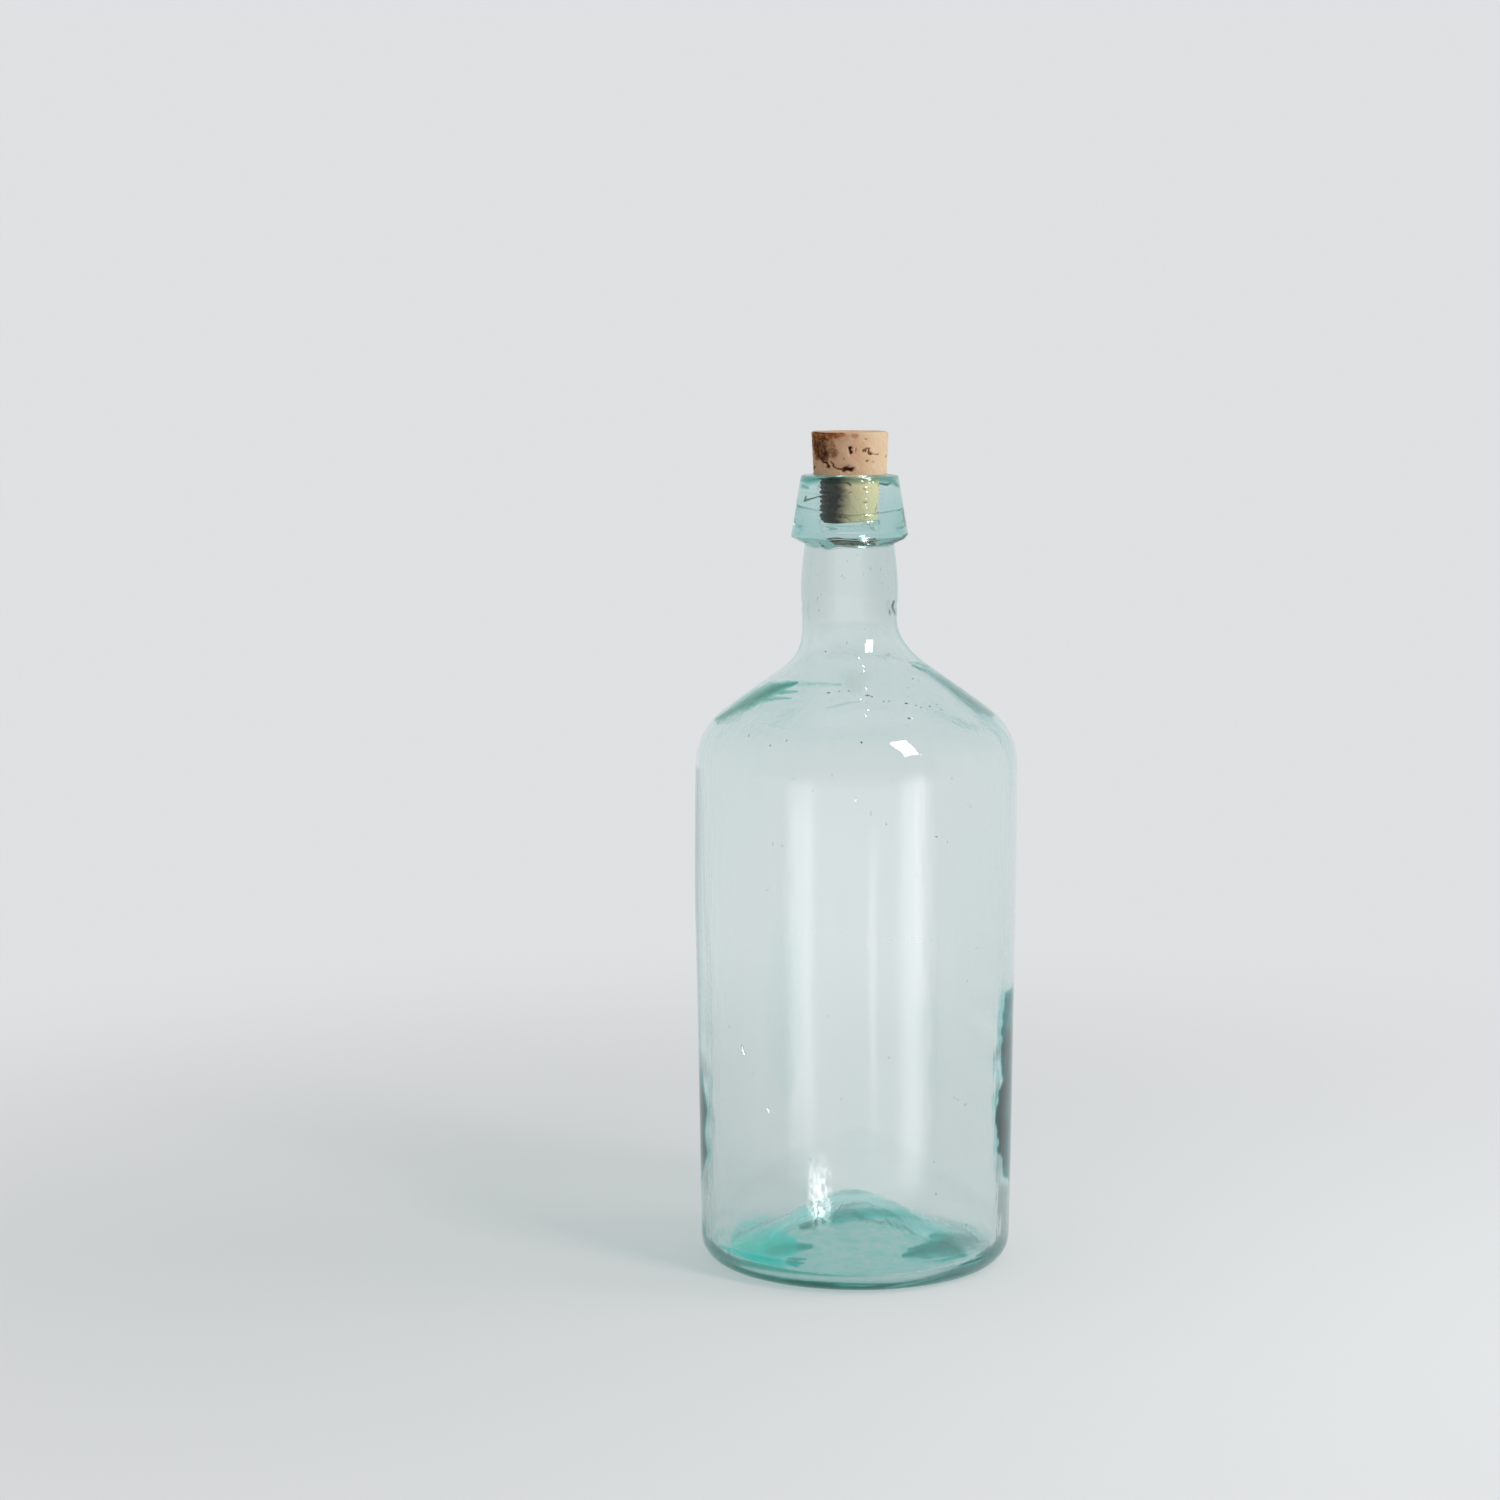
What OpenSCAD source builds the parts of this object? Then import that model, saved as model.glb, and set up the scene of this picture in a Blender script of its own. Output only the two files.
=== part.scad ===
// Hand-blown one-litre bottle of pale aqua glass, with a tooled collar laid round its neck and a tapered cork.
// Millimetres, +Z up. The origin is the middle of the base, on the plane that the bottle stands on.

/* [Body] */
// Outer diameter of the body at its widest, from the end of the taper to the shoulder
body_d = 95.6; // [84:0.2:130]
// Outer diameter of the body just above the heel, where the mould is narrower
base_d = 92.4; // [82:0.2:120]
// Height at which the body reaches its full diameter
taper_h = 109; // [60:1:140]
// Height at which the wall starts to turn in to the shoulder
shoulder_h = 149.6; // [142:0.2:220]
// Thickness of the wall above the heel
heel_wall = 3.2; // [2:0.1:4]
// Thickness of the wall at the full diameter
body_wall = 2.2; // [1.5:0.1:4]

/* [Shoulder] */
// Radius of the outer round between body and shoulder
shoulder_r = 20; // [8:0.5:22]
// Slope of the shoulder above the horizontal, in degrees
shoulder_slope = 35.5; // [28:0.5:50]
// Thickness of the glass in the shoulder
shoulder_wall = 3; // [2:0.1:4]
// Radius of the outer hollow between shoulder and neck
root_r = 16; // [8:0.5:18]

/* [Neck] */
// Outer diameter of the neck where it rises from the shoulder
neck_d = 27.8; // [26:0.2:32]
// Outer diameter of the neck where it enters the collar
neck_top_d = 26.4; // [25.4:0.2:30]
// How far the middle of the neck swells out
neck_swell = 0.75; // [0:0.05:1]
// Height of the neck between shoulder and collar
neck_h = 22.2; // [15:0.2:60]
// Thickness of the neck wall
neck_wall = 2.3; // [1.6:0.1:3]
// Sideways lean of the neck's root, in millimetres for each millimetre of height; a minus leans to the left
root_lean = -0.14; // [-0.3:0.005:0.3]

/* [Collar] */
// Height of the collar
collar_h = 20.8; // [16:0.2:30]
// Outer diameter of the collar near its lower edge
collar_d = 34.6; // [32:0.2:40]
// Outer diameter of the collar at its top
collar_top_d = 28.8; // [28:0.2:36]
// Height from the collar's lowest point up to its widest
collar_skirt = 1.7; // [0.8:0.1:3]
// Thickness of the collar's glass over the cut end of the neck
collar_cap = 3.4; // [2:0.1:5]
// Radius of the collar's rounded edges
collar_edge_r = 1; // [0.4:0.1:1.2]

/* [Base] */
// Radius of the heel, the round between wall and base
heel_r = 7.6; // [5:0.2:10]
// Radius of the round inside the heel
heel_in_r = 4.6; // [3:0.2:6]
// Width of the flat ring that the bottle stands on
foot_w = 2; // [1:0.1:3]
// Height of the pushed-up middle of the base, from below
kick_h = 15.2; // [6:0.2:24]
// Height of the top of the pushed-up middle, inside
kick_in_h = 20.6; // [10:0.2:30]
// Thickness of the glass at the edge of the floor
floor_wall = 4.2; // [3:0.1:5]

/* [Cork] */
// Diameter of the cork at its top
cork_top_d = 22.8; // [21.8:0.1:23.6]
// Diameter of the cork at its lower end
cork_bottom_d = 19; // [18.2:0.1:19.8]
// Length of the cork
cork_h = 26.8; // [24:0.2:32]
// How far the cork stands out of the mouth
cork_proud = 12.4; // [8:0.1:16]
// Chamfer on the cork's edges
cork_chamfer = 0.4; // [0.2:0.1:0.8]
// Gap all round between cork and glass
cork_gap = 0.12; // [0.1:0.02:0.3]

/* [Hidden] */
$fn = 96;

// Steps in each round of the outline, and in the floor and the neck
arc_steps = 12;
curve_steps = 14;
// One overrun for every cut
over = 1;
// Heights at which two turned shapes meet are whole steps of this, so that both have the very same height
meeting_step = 0.01;
function on_step(z) = round(z / meeting_step) * meeting_step;
// Sharpness of the pushed-up middle: more than 1 makes it peaked
kick_power = 1.4;

glass_aqua = [0.66, 0.86, 0.83, 0.5];
collar_aqua = [0.52, 0.78, 0.75, 0.6];
cork_tan = [0.82, 0.63, 0.46];

body_r = body_d / 2;
base_r = base_d / 2;
neck_r = neck_d / 2;
neck_top_r = neck_top_d / 2;
turn = 90 - shoulder_slope;

// Where the shoulder leaves its round and meets the hollow under the neck
round_end_r = body_r - shoulder_r * (1 - cos(turn));
round_end_z = shoulder_h + shoulder_r * sin(turn);
root_start_r = neck_r + root_r * (1 - cos(turn));
root_z = round_end_z + (round_end_r - root_start_r) * tan(shoulder_slope);
neck_z = on_step(root_z + root_r * sin(turn));
root_mid_r = neck_r + root_r;

// Where the hollow's own round starts, inside the glass
root_in_r = root_mid_r - (root_r + shoulder_wall) * cos(turn);
root_in_z = neck_z - (root_r + shoulder_wall) * sin(turn);

// The stretch from here up to the neck leans, so that the neck stands off the middle
lean_run = 0.5;
lean_z = on_step(root_in_z - lean_run);
lean_h = neck_z - lean_z;
lean_r = round_end_r - (lean_z - round_end_z) / tan(shoulder_slope);
lean_in_r = root_in_r + (root_in_z - lean_z) / tan(shoulder_slope);
neck_shift = root_lean * lean_h;

collar_z = neck_z + neck_h;
lip_z = collar_z + collar_h;

// The cork's cone, which the bore follows with the gap added
cork_top_z = lip_z + cork_proud;
cork_bottom_z = cork_top_z - cork_h;
cork_r = cork_bottom_d / 2;
cork_taper = (cork_top_d - cork_bottom_d) / 2 / cork_h;
function bore_r(z) = cork_r + cork_gap + (z - cork_bottom_z) * cork_taper;

// The tooled bore reaches a little below the cork, and the neck's tenon stands round it inside the collar
bore_below_share = 0.5;
bore_z = cork_bottom_z - bore_below_share * (cork_bottom_z - collar_z);
tenon_wall_share = 0.9;
tenon_r = bore_r(bore_z) + tenon_wall_share * neck_wall;
tenon_z = lip_z - collar_cap;
tuck_z = collar_z + collar_skirt + collar_edge_r;

// The round between bore and lip
mouth_r = collar_edge_r / 2;

wall_in_z = floor_wall + heel_in_r;
floor_r = base_r - heel_wall - heel_in_r;
foot_out_r = base_r - heel_r;
foot_in_r = foot_out_r - foot_w;

function swing(mid_r, mid_z, r, from, to, steps) =
    [for (i = [0:steps]) let (a = from + (to - from) * i / steps) [mid_r + r * cos(a), mid_z + r * sin(a)]];

// A round whose radius changes evenly from r_from to r_to on its way
function easing_swing(mid_r, mid_z, r_from, r_to, from, to, steps) =
    [for (i = [0:steps]) let (t = i / steps, a = from + (to - from) * t, r = r_from + (r_to - r_from) * t)
        [mid_r + r * cos(a), mid_z + r * sin(a)]];

// Height over the edge of the floor, at a share of the way out from the middle
function kick(share) = pow((1 + cos(180 * share)) / 2, kick_power);

function kick_points(out_r, low_z, high_z) =
    [for (i = [0:curve_steps]) let (share = i / curve_steps) [out_r * share, low_z + (high_z - low_z) * kick(share)]];

function neck_points(offset) =
    [for (i = [0:curve_steps]) let (t = i / curve_steps)
        [neck_r + (neck_top_r - neck_r) * t + neck_swell * sin(180 * t) - offset, neck_z + neck_h * t]];

// Outline of the glass from the middle of the base up to where the lean starts
body_outline = concat(
    kick_points(foot_in_r, 0, kick_h),
    swing(foot_out_r, heel_r, heel_r, -90, 0, arc_steps),
    [[body_r, taper_h]],
    swing(body_r - shoulder_r, shoulder_h, shoulder_r, 0, turn, arc_steps),
    [[lean_r, lean_z]]
);

body_hollow = concat(
    kick_points(floor_r, floor_wall, kick_in_h),
    swing(floor_r, wall_in_z, heel_in_r, -90, 0, arc_steps),
    [[body_r - body_wall, taper_h]],
    easing_swing(body_r - shoulder_r, shoulder_h, shoulder_r - body_wall, shoulder_r - shoulder_wall,
        0, turn, arc_steps),
    [[lean_in_r, lean_z]]
);

// The outlines of the leaning stretch have their zero height where it starts
root_outline = concat(
    [[lean_r, 0]],
    swing(root_mid_r, lean_h, root_r, 180 + turn, 180, arc_steps)
);

root_hollow = concat(
    [[lean_in_r, 0]],
    easing_swing(root_mid_r, lean_h, root_r + shoulder_wall, root_r + neck_wall, 180 + turn, 180, arc_steps)
);

neck_outline = concat(
    neck_points(0),
    [[tenon_r, tuck_z], [tenon_r, tenon_z]]
);

neck_hollow = concat(
    neck_points(neck_wall),
    [[bore_r(bore_z), bore_z], [bore_r(tenon_z + over), tenon_z + over]]
);

// Ring of the collar: up the inside along the tenon, over its end, up the bore and back down the outside
collar_ring = concat(
    [[neck_top_r, collar_z], [tenon_r, tuck_z], [tenon_r, tenon_z], [bore_r(tenon_z), tenon_z]],
    swing(bore_r(lip_z) + mouth_r, lip_z - mouth_r, mouth_r, 180, 90, arc_steps / 2),
    swing(collar_top_d / 2 - collar_edge_r, lip_z - collar_edge_r, collar_edge_r, 90, 0, arc_steps / 2),
    swing(collar_d / 2 - collar_edge_r, tuck_z, collar_edge_r, 0, -60, arc_steps / 2)
);

// Turns an outline, closed to the axis, into a solid
module turned(points) {
    rotate_extrude()
        polygon(concat(points, [[0, points[len(points) - 1][1]], [0, points[0][1]]]));
}

// Leans its child so that its top stands the neck's shift to one side
module leaning() {
    translate([0, 0, lean_z])
        multmatrix([[1, 0, root_lean, 0], [0, 1, 0, 0], [0, 0, 1, 0]])
            children();
}

module on_neck_axis() {
    translate([neck_shift, 0, 0])
        children();
}

module stack(lower, middle, upper) {
    turned(lower);
    leaning()
        turned(middle);
    on_neck_axis()
        turned(upper);
}

module bottle() {
    color(glass_aqua)
        difference() {
            stack(body_outline, root_outline, neck_outline);
            stack(body_hollow, root_hollow, neck_hollow);
        }
}

module lip_collar() {
    color(collar_aqua)
        on_neck_axis()
            rotate_extrude()
                polygon(collar_ring);
}

module cork() {
    top_r = cork_top_d / 2;
    color(cork_tan)
        on_neck_axis()
            turned([
                [0, cork_bottom_z],
                [cork_r - cork_chamfer, cork_bottom_z],
                [cork_r + cork_chamfer * cork_taper, cork_bottom_z + cork_chamfer],
                [top_r - cork_chamfer * cork_taper, cork_top_z - cork_chamfer],
                [top_r - cork_chamfer, cork_top_z]
            ]);
}

bottle();
lip_collar();
cork();
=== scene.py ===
"""Looks of the hand-blown aqua bottle and its cork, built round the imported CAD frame."""
from math import atan2, ceil, cos, pi, radians, sin, sqrt, tan

import bpy
import numpy as np
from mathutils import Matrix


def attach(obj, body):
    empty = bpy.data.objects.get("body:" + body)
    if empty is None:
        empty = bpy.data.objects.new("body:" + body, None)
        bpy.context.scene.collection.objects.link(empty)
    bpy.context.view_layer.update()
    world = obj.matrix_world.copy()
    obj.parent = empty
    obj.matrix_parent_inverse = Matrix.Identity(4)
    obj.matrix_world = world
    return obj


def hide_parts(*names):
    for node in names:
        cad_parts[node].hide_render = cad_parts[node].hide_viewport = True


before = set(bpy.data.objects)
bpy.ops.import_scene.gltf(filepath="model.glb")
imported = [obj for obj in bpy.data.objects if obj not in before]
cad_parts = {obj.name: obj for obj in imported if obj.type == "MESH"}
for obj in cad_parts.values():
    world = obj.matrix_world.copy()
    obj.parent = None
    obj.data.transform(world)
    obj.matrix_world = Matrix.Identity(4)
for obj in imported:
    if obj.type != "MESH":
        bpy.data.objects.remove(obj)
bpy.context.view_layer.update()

MM = 0.001

# Sizes in millimetres. The outside is the solids' own. The walls, the bore, the floor and the cork's
# part in the glass differ from the solids by 2 mm at most.
BODY_R = 47.8
BASE_R = 46.2
TAPER_H = 109.0
SHOULDER_H = 149.6
HEEL_WALL = 2.1
BODY_WALL = 1.7
SHOULDER_R = 20.0
SHOULDER_SLOPE = 35.5
SHOULDER_WALL = 3.0
ROOT_R = 16.0
NECK_R = 13.9
NECK_TOP_R = 13.2
NECK_SWELL = 0.75
NECK_H = 22.2
NECK_WALL = 2.3
ROOT_LEAN = -0.14
COLLAR_H = 20.8
COLLAR_R = 17.3
COLLAR_TOP_R = 14.4
COLLAR_SKIRT = 1.7
EDGE_R = 1.0
LIP_EDGE_R = 0.7
LIP_CROWN = 0.35
HEEL_R = 7.6
HEEL_IN_R = 5.4
FOOT_W = 2.0
KICK_H = 16.2
KICK_IN_H = 20.0
FLOOR_WALL = 3.6
KICK_TIP_SHARE = 0.12
KICK_CONE_SHARE = 0.7
BORE_R = 8.95
MOUTH_R = 10.95
CORK_TOP_R = 11.4
CORK_LIP_R = 10.75
CORK_H = 26.8
CORK_PROUD = 12.4
CORK_CHAMFER = 0.4
CORK_GAP = 0.12
# How far the bore's flare reaches below and above the lip, and what places the lean and the bore's end
FLARE_BELOW, FLARE_ABOVE = 3.2, 0.4
LEAN_RUN = 0.5
BORE_BELOW_SHARE = 0.5

TURN = 90 - SHOULDER_SLOPE
SIN_TURN, COS_TURN = sin(radians(TURN)), cos(radians(TURN))
ROUND_END = (BODY_R - SHOULDER_R * (1 - COS_TURN), SHOULDER_H + SHOULDER_R * SIN_TURN)
ROOT_START_R = NECK_R + ROOT_R * (1 - COS_TURN)
ROOT_Z = ROUND_END[1] + (ROUND_END[0] - ROOT_START_R) * tan(radians(SHOULDER_SLOPE))
NECK_Z = ROOT_Z + ROOT_R * SIN_TURN
ROOT_MID_R = NECK_R + ROOT_R
ROOT_IN_R = ROOT_MID_R - (ROOT_R + SHOULDER_WALL) * COS_TURN
ROOT_IN_Z = NECK_Z - (ROOT_R + SHOULDER_WALL) * SIN_TURN
LEAN_Z = ROOT_IN_Z - LEAN_RUN
COLLAR_Z = NECK_Z + NECK_H
LIP_Z = COLLAR_Z + COLLAR_H
TUCK_Z = COLLAR_Z + COLLAR_SKIRT + EDGE_R
CORK_TOP_Z = LIP_Z + CORK_PROUD
CORK_Z = CORK_TOP_Z - CORK_H
BORE_Z = CORK_Z - BORE_BELOW_SHARE * (CORK_Z - COLLAR_Z)
NECK_SHIFT = ROOT_LEAN * (NECK_Z - LEAN_Z)
FLOOR_R = BASE_R - HEEL_WALL - HEEL_IN_R
FOOT_OUT_R = BASE_R - HEEL_R
FOOT_IN_R = FOOT_OUT_R - FOOT_W

# Camera, in the photo's pixels, degrees and millimetres
SENSOR_MM = 36.0
IMAGE_PX = 1500
FOCAL_PX = 3575.0
PITCH = radians(6.89)
CAMERA_MM = np.array([-31.57, -1053.0, 280.75])
AHEAD = np.array([0, cos(PITCH), -sin(PITCH)])
UP = np.array([0, sin(PITCH), cos(PITCH)])
RIGHT = np.array([1.0, 0, 0])
# Distances along a pixel's ray, counted from the bottle's middle, at which its front is looked for
SEARCH = np.linspace(-60, 60, 2401)
ARC_STEPS, KICK_STEPS = 40, 60


def smooth(x, low, high):
    t = np.clip((x - low) / (high - low), 0, 1)
    return t * t * (3 - 2 * t)


def between(x, start, end):
    """1 between two soft borders, each given by where it starts and where it ends."""
    return smooth(x, *start) * (1 - smooth(x, *end))


def bore_r(z):
    """The bore is straight and flares at the mouth, where it squeezes the cork."""
    return BORE_R + (MOUTH_R - BORE_R) * smooth(z, LIP_Z - FLARE_BELOW, LIP_Z + FLARE_ABOVE)


def lean(z):
    """Sideways shift of the bottle's axis at a height."""
    return NECK_SHIFT * smooth(z, LEAN_Z, NECK_Z)


def pixel_ray(px, py):
    """Unit direction, in the part's frame, of the photo's pixel."""
    ray = AHEAD + (RIGHT * (px - IMAGE_PX / 2) - UP * (py - IMAGE_PX / 2)) / FOCAL_PX
    return ray / np.linalg.norm(ray)


def photo_pixel(x, y, z):
    """Where the photo shows points given in the part's frame."""
    away_y, away_z = y - CAMERA_MM[1], z - CAMERA_MM[2]
    depth = away_y * AHEAD[1] + away_z * AHEAD[2]
    rise = away_y * UP[1] + away_z * UP[2]
    return IMAGE_PX / 2 + FOCAL_PX * (x - CAMERA_MM[0]) / depth, IMAGE_PX / 2 - FOCAL_PX * rise / depth


def place(px, py):
    """Angle (radians) and height at which the photo's pixel meets the front of the glass."""
    ray = pixel_ray(px, py)
    points = CAMERA_MM + (SEARCH - CAMERA_MM[1] / ray[1])[:, None] * ray
    away = np.hypot(points[:, 0] - lean(points[:, 2]), points[:, 1])
    inside = np.flatnonzero(away <= outer_r(points[:, 2]))
    hit = points[inside[0] if len(inside) else np.argmin(away)]
    return atan2(hit[1], hit[0] - lean(hit[2])), hit[2]


# Shape tools
def swing(mid_r, mid_z, r_from, r_to, start, end):
    """Arc from one angle to another, in degrees, whose radius changes evenly on its way."""
    t = np.linspace(0, 1, ARC_STEPS + 1)
    angle = np.radians(start + (end - start) * t)
    r = r_from + (r_to - r_from) * t
    return np.column_stack([mid_r + r * np.cos(angle), mid_z + r * np.sin(angle)])


def kick_curve(out_r, low_z, high_z):
    """Pushed-up floor: a cone with a rounded tip that runs out softly at its edge."""
    share = np.linspace(0, 1, KICK_STEPS + 1)
    tip = np.sqrt(share ** 2 + KICK_TIP_SHARE ** 2) - KICK_TIP_SHARE
    rise = KICK_CONE_SHARE * (1 - tip / tip[-1]) + (1 - KICK_CONE_SHARE) * (1 + np.cos(np.pi * share)) / 2
    return np.column_stack([out_r * share, low_z + (high_z - low_z) * rise])


def neck_curve(offset):
    t = np.linspace(0, 1, ARC_STEPS + 1)
    r = NECK_R + (NECK_TOP_R - NECK_R) * t + NECK_SWELL * np.sin(np.pi * t) - offset
    return np.column_stack([r, NECK_Z + NECK_H * t])


def resample(points, spacing):
    step = np.hypot(*np.diff(points, axis=0).T)
    run = np.concatenate([[0], np.cumsum(step)])
    count = max(1, ceil(run[-1] / spacing))
    at = np.linspace(0, run[-1], count + 1)
    return np.column_stack([np.interp(at, run, points[:, 0]), np.interp(at, run, points[:, 1])])


def join_path(pieces):
    """Joins (points, spacing, zone) into one path with a zone number for each point."""
    path, zones = [], []
    for points, spacing, zone in pieces:
        fresh = resample(np.asarray(points, float), spacing)
        if path:
            fresh = fresh[1:]
        path.append(fresh)
        zones += [zone] * len(fresh)
    return np.concatenate(path), np.array(zones)


def ease(path, zones, first, last, passes):
    """Rounds off the slight kinks of one smooth stretch of a path, whose ends stay where they are."""
    stretch = np.flatnonzero((zones >= first) & (zones <= last))
    for _ in range(passes):
        middle = stretch[1:-1]
        path[middle] = (path[middle - 1] + 2 * path[middle] + path[middle + 1]) / 4


def path_normals(path):
    along = np.gradient(path, axis=0)
    along /= np.maximum(np.hypot(*along.T), 1e-9)[:, None]
    return np.column_stack([along[:, 1], -along[:, 0]])


def wrapped(angle):
    return (angle + np.pi) % (2 * np.pi) - np.pi


def angles(segments):
    """Angles of a turned mesh's columns, as one row."""
    return (np.arange(segments) * 2 * np.pi / segments)[None, :]


def waves(seed, theta, z, count, turns, lengths):
    """Sum of waves round and along a turned surface, with unit rms; lengths in millimetres along z."""
    rng = np.random.RandomState(seed)
    total = 0
    for _ in range(count):
        m = rng.randint(turns[0], turns[1] + 1)
        k = 2 * np.pi / rng.uniform(*lengths) * rng.choice([-1, 1])
        total = total + np.cos(m * theta + k * z + rng.uniform(0, 2 * np.pi))
    return total / sqrt(count / 2)


def patch(theta, z, at_theta, at_z, half_deg, half_z):
    return np.exp(-(wrapped(theta - at_theta) / radians(half_deg)) ** 2 - ((z - at_z) / half_z) ** 2)


def stroke_mark(u, v, points):
    """Strength of a brush stroke, 1 on its line; its points are (u, v, half-width)."""
    best = np.zeros(np.broadcast(u, v).shape)
    for (u0, v0, wide0), (u1, v1, wide1) in zip(points[:-1], points[1:]):
        du, dv = u1 - u0, v1 - v0
        t = np.clip(((u - u0) * du + (v - v0) * dv) / max(du * du + dv * dv, 1e-9), 0, 1)
        away = np.hypot(u - u0 - t * du, v - v0 - t * dv)
        best = np.maximum(best, np.exp(-(away / (wide0 + (wide1 - wide0) * t)) ** 2))
    return best


def line_mark(u, v, points, width):
    return stroke_mark(u, v, [(*point, width) for point in points])


def turned_faces(rings, segments):
    """Quads and end triangles of a closed turned mesh, whose points run ring by ring from end to end."""
    j = np.arange(segments)
    after = (j + 1) % segments
    first = 1 + np.arange(rings)[:, None] * segments
    low, high, last = first[:-1], first[1:], first[-1, 0]
    quads = np.stack([low + j, low + after, high + after, high + j], axis=-1).reshape(-1, 4)
    near_end = np.column_stack([0 * j, 1 + after, 1 + j])
    far_end = np.column_stack([0 * j + last + segments, last + j, last + after])
    return quads, np.concatenate([near_end, far_end])


def turned_mesh(path, push, shift, drop=0.0):
    """Closed mesh turned from a path; push moves points along their normals, drop up, shift aside."""
    theta = angles(push.shape[1])
    normals = path_normals(path)
    r = path[:, 0:1] + normals[:, 0:1] * push
    z = np.maximum(path[:, 1:2] + normals[:, 1:2] * push + drop, 0)
    rings = np.stack([r * np.cos(theta) + shift(z), r * np.sin(theta), z], axis=-1)[1:-1]
    ends_z = path[[0, -1], 1] + normals[[0, -1], 1] * push[[0, -1]].mean(axis=1)
    first, last = [[float(shift(np.array(end_z))), 0, end_z] for end_z in ends_z]
    points = np.concatenate([[first], rings.reshape(-1, 3), [last]]) * MM
    return points, *turned_faces(*push[1:-1].shape)


def spread(values):
    """Per-point values of a turned mesh, in the order of its points."""
    ends = values[[0, -1]].mean(axis=1)
    return np.concatenate([ends[:1], values[1:-1].reshape(-1, *values.shape[2:]), ends[1:]])


def put_in_scene(name, data):
    thing = bpy.data.objects.new(name, data)
    bpy.context.scene.collection.objects.link(thing)
    return thing


def make_object(name, points, quads, tris, material, attributes=None):
    mesh = bpy.data.meshes.new(name)
    mesh.vertices.add(len(points))
    mesh.vertices.foreach_set("co", np.asarray(points, np.float32).ravel())
    loops = np.concatenate([quads.ravel(), tris.ravel()]).astype(np.int32)
    mesh.loops.add(len(loops))
    mesh.loops.foreach_set("vertex_index", loops)
    sizes = np.repeat([4, 3], [len(quads), len(tris)])
    mesh.polygons.add(len(sizes))
    mesh.polygons.foreach_set("loop_start", (np.cumsum(sizes) - sizes).astype(np.int32))
    mesh.update(calc_edges=True)
    mesh.validate()
    mesh.polygons.foreach_set("use_smooth", np.ones(len(mesh.polygons), bool))
    for key, values in (attributes or {}).items():
        if values.ndim == 1:
            mesh.attributes.new(key, "FLOAT", "POINT").data.foreach_set("value", values.astype(np.float32))
        else:
            rgba = np.column_stack([values, np.ones(len(values))]).astype(np.float32)
            mesh.attributes.new(key, "FLOAT_COLOR", "POINT").data.foreach_set("color", rgba.ravel())
    mesh.materials.append(material)
    return put_in_scene(name, mesh)


# Material tools
def srgb(*rgb):
    """Linear colour of three 0-255 screen values."""
    c = np.array(rgb, float) / 255
    lin = np.where(c <= 0.04045, c / 12.92, ((c + 0.055) / 1.055) ** 2.4)
    return (*lin.tolist(), 1.0)


class Nodes:
    """A node tree, with short calls to add and join nodes. A node stands for its own first output."""

    def __init__(self, owner):
        owner.use_nodes = True
        self.tree = owner.node_tree
        self.tree.nodes.clear()

    def add(self, kind, *first, settings=None, **inputs):
        """Adds a shader node; its first inputs are given in order, and others by name."""
        node = self.tree.nodes.new("ShaderNode" + kind)
        for key, value in (settings or {}).items():
            setattr(node, key, value)
        for socket, value in enumerate(first):
            self.put(node, socket, value)
        for key, value in inputs.items():
            self.put(node, key.replace("_", " "), value)
        return node

    def put(self, node, socket, value):
        if isinstance(value, bpy.types.Node):
            value = value.outputs[0]
        if isinstance(value, bpy.types.NodeSocket):
            self.tree.links.new(value, node.inputs[socket])
        else:
            node.inputs[socket].default_value = value

    def math(self, how, a, b, clamp=False):
        return self.add("Math", a, b, settings={"operation": how, "use_clamp": clamp})

    def plus(self, a, b):
        return self.math("ADD", a, b)

    def minus(self, a, b):
        return self.math("SUBTRACT", a, b)

    def times(self, a, b):
        return self.math("MULTIPLY", a, b)

    def most(self, a, b):
        return self.math("MAXIMUM", a, b)

    def mix(self, factor, a, b, how="MIX"):
        node = self.add("Mix", factor, settings={"data_type": "RGBA", "blend_type": how})
        self.put(node, 6, a)
        self.put(node, 7, b)
        return node.outputs[2]

    def ramp(self, value, low, high, to_low=0.0, to_high=1.0, how="LINEAR"):
        return self.add("MapRange", value, low, high, to_low, to_high,
                        settings={"interpolation_type": how})

    def place(self, scale=(1, 1, 1)):
        coordinates = self.add("TexCoord")
        return self.add("Mapping", Vector=coordinates.outputs["Object"], Scale=scale)

    def part(self, vector, axis):
        return self.add("SeparateXYZ", vector).outputs[axis]

    def noise(self, where, scale, detail=3.0, rough=0.5, distort=0.0):
        return self.add("TexNoise", Vector=where, Scale=scale, Detail=detail,
                        Roughness=rough, Distortion=distort).outputs["Fac"]

    def attribute(self, key, output="Fac"):
        return self.add("Attribute", settings={"attribute_name": key}).outputs[output]

    def rays(self):
        """Light Path node, and 1 for what the camera sees directly, in a reflection or through glass."""
        path = self.add("LightPath").outputs
        seen = self.most(path["Is Camera Ray"], path["Is Transmission Ray"])
        return path, self.most(seen, path["Is Glossy Ray"])


# Glass
GLASS_SEGMENTS = 400
(UNDER, HEEL, BODY, SHOULDER, NECK, SKIRT, COLLAR, LIP,
 BORE, NECK_IN, SHOULDER_IN, BODY_IN, HEEL_IN, FLOOR_IN) = range(14)
# Passes that round off the kinks of each stretch of the outline: first and last zone, passes
EASED = [(BODY, NECK, 14), (NECK_IN, FLOOR_IN, 8), (UNDER, HEEL, 4)]
SKIRT_FROM_DEG, CORNER_TO_DEG = -60, 72


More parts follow.
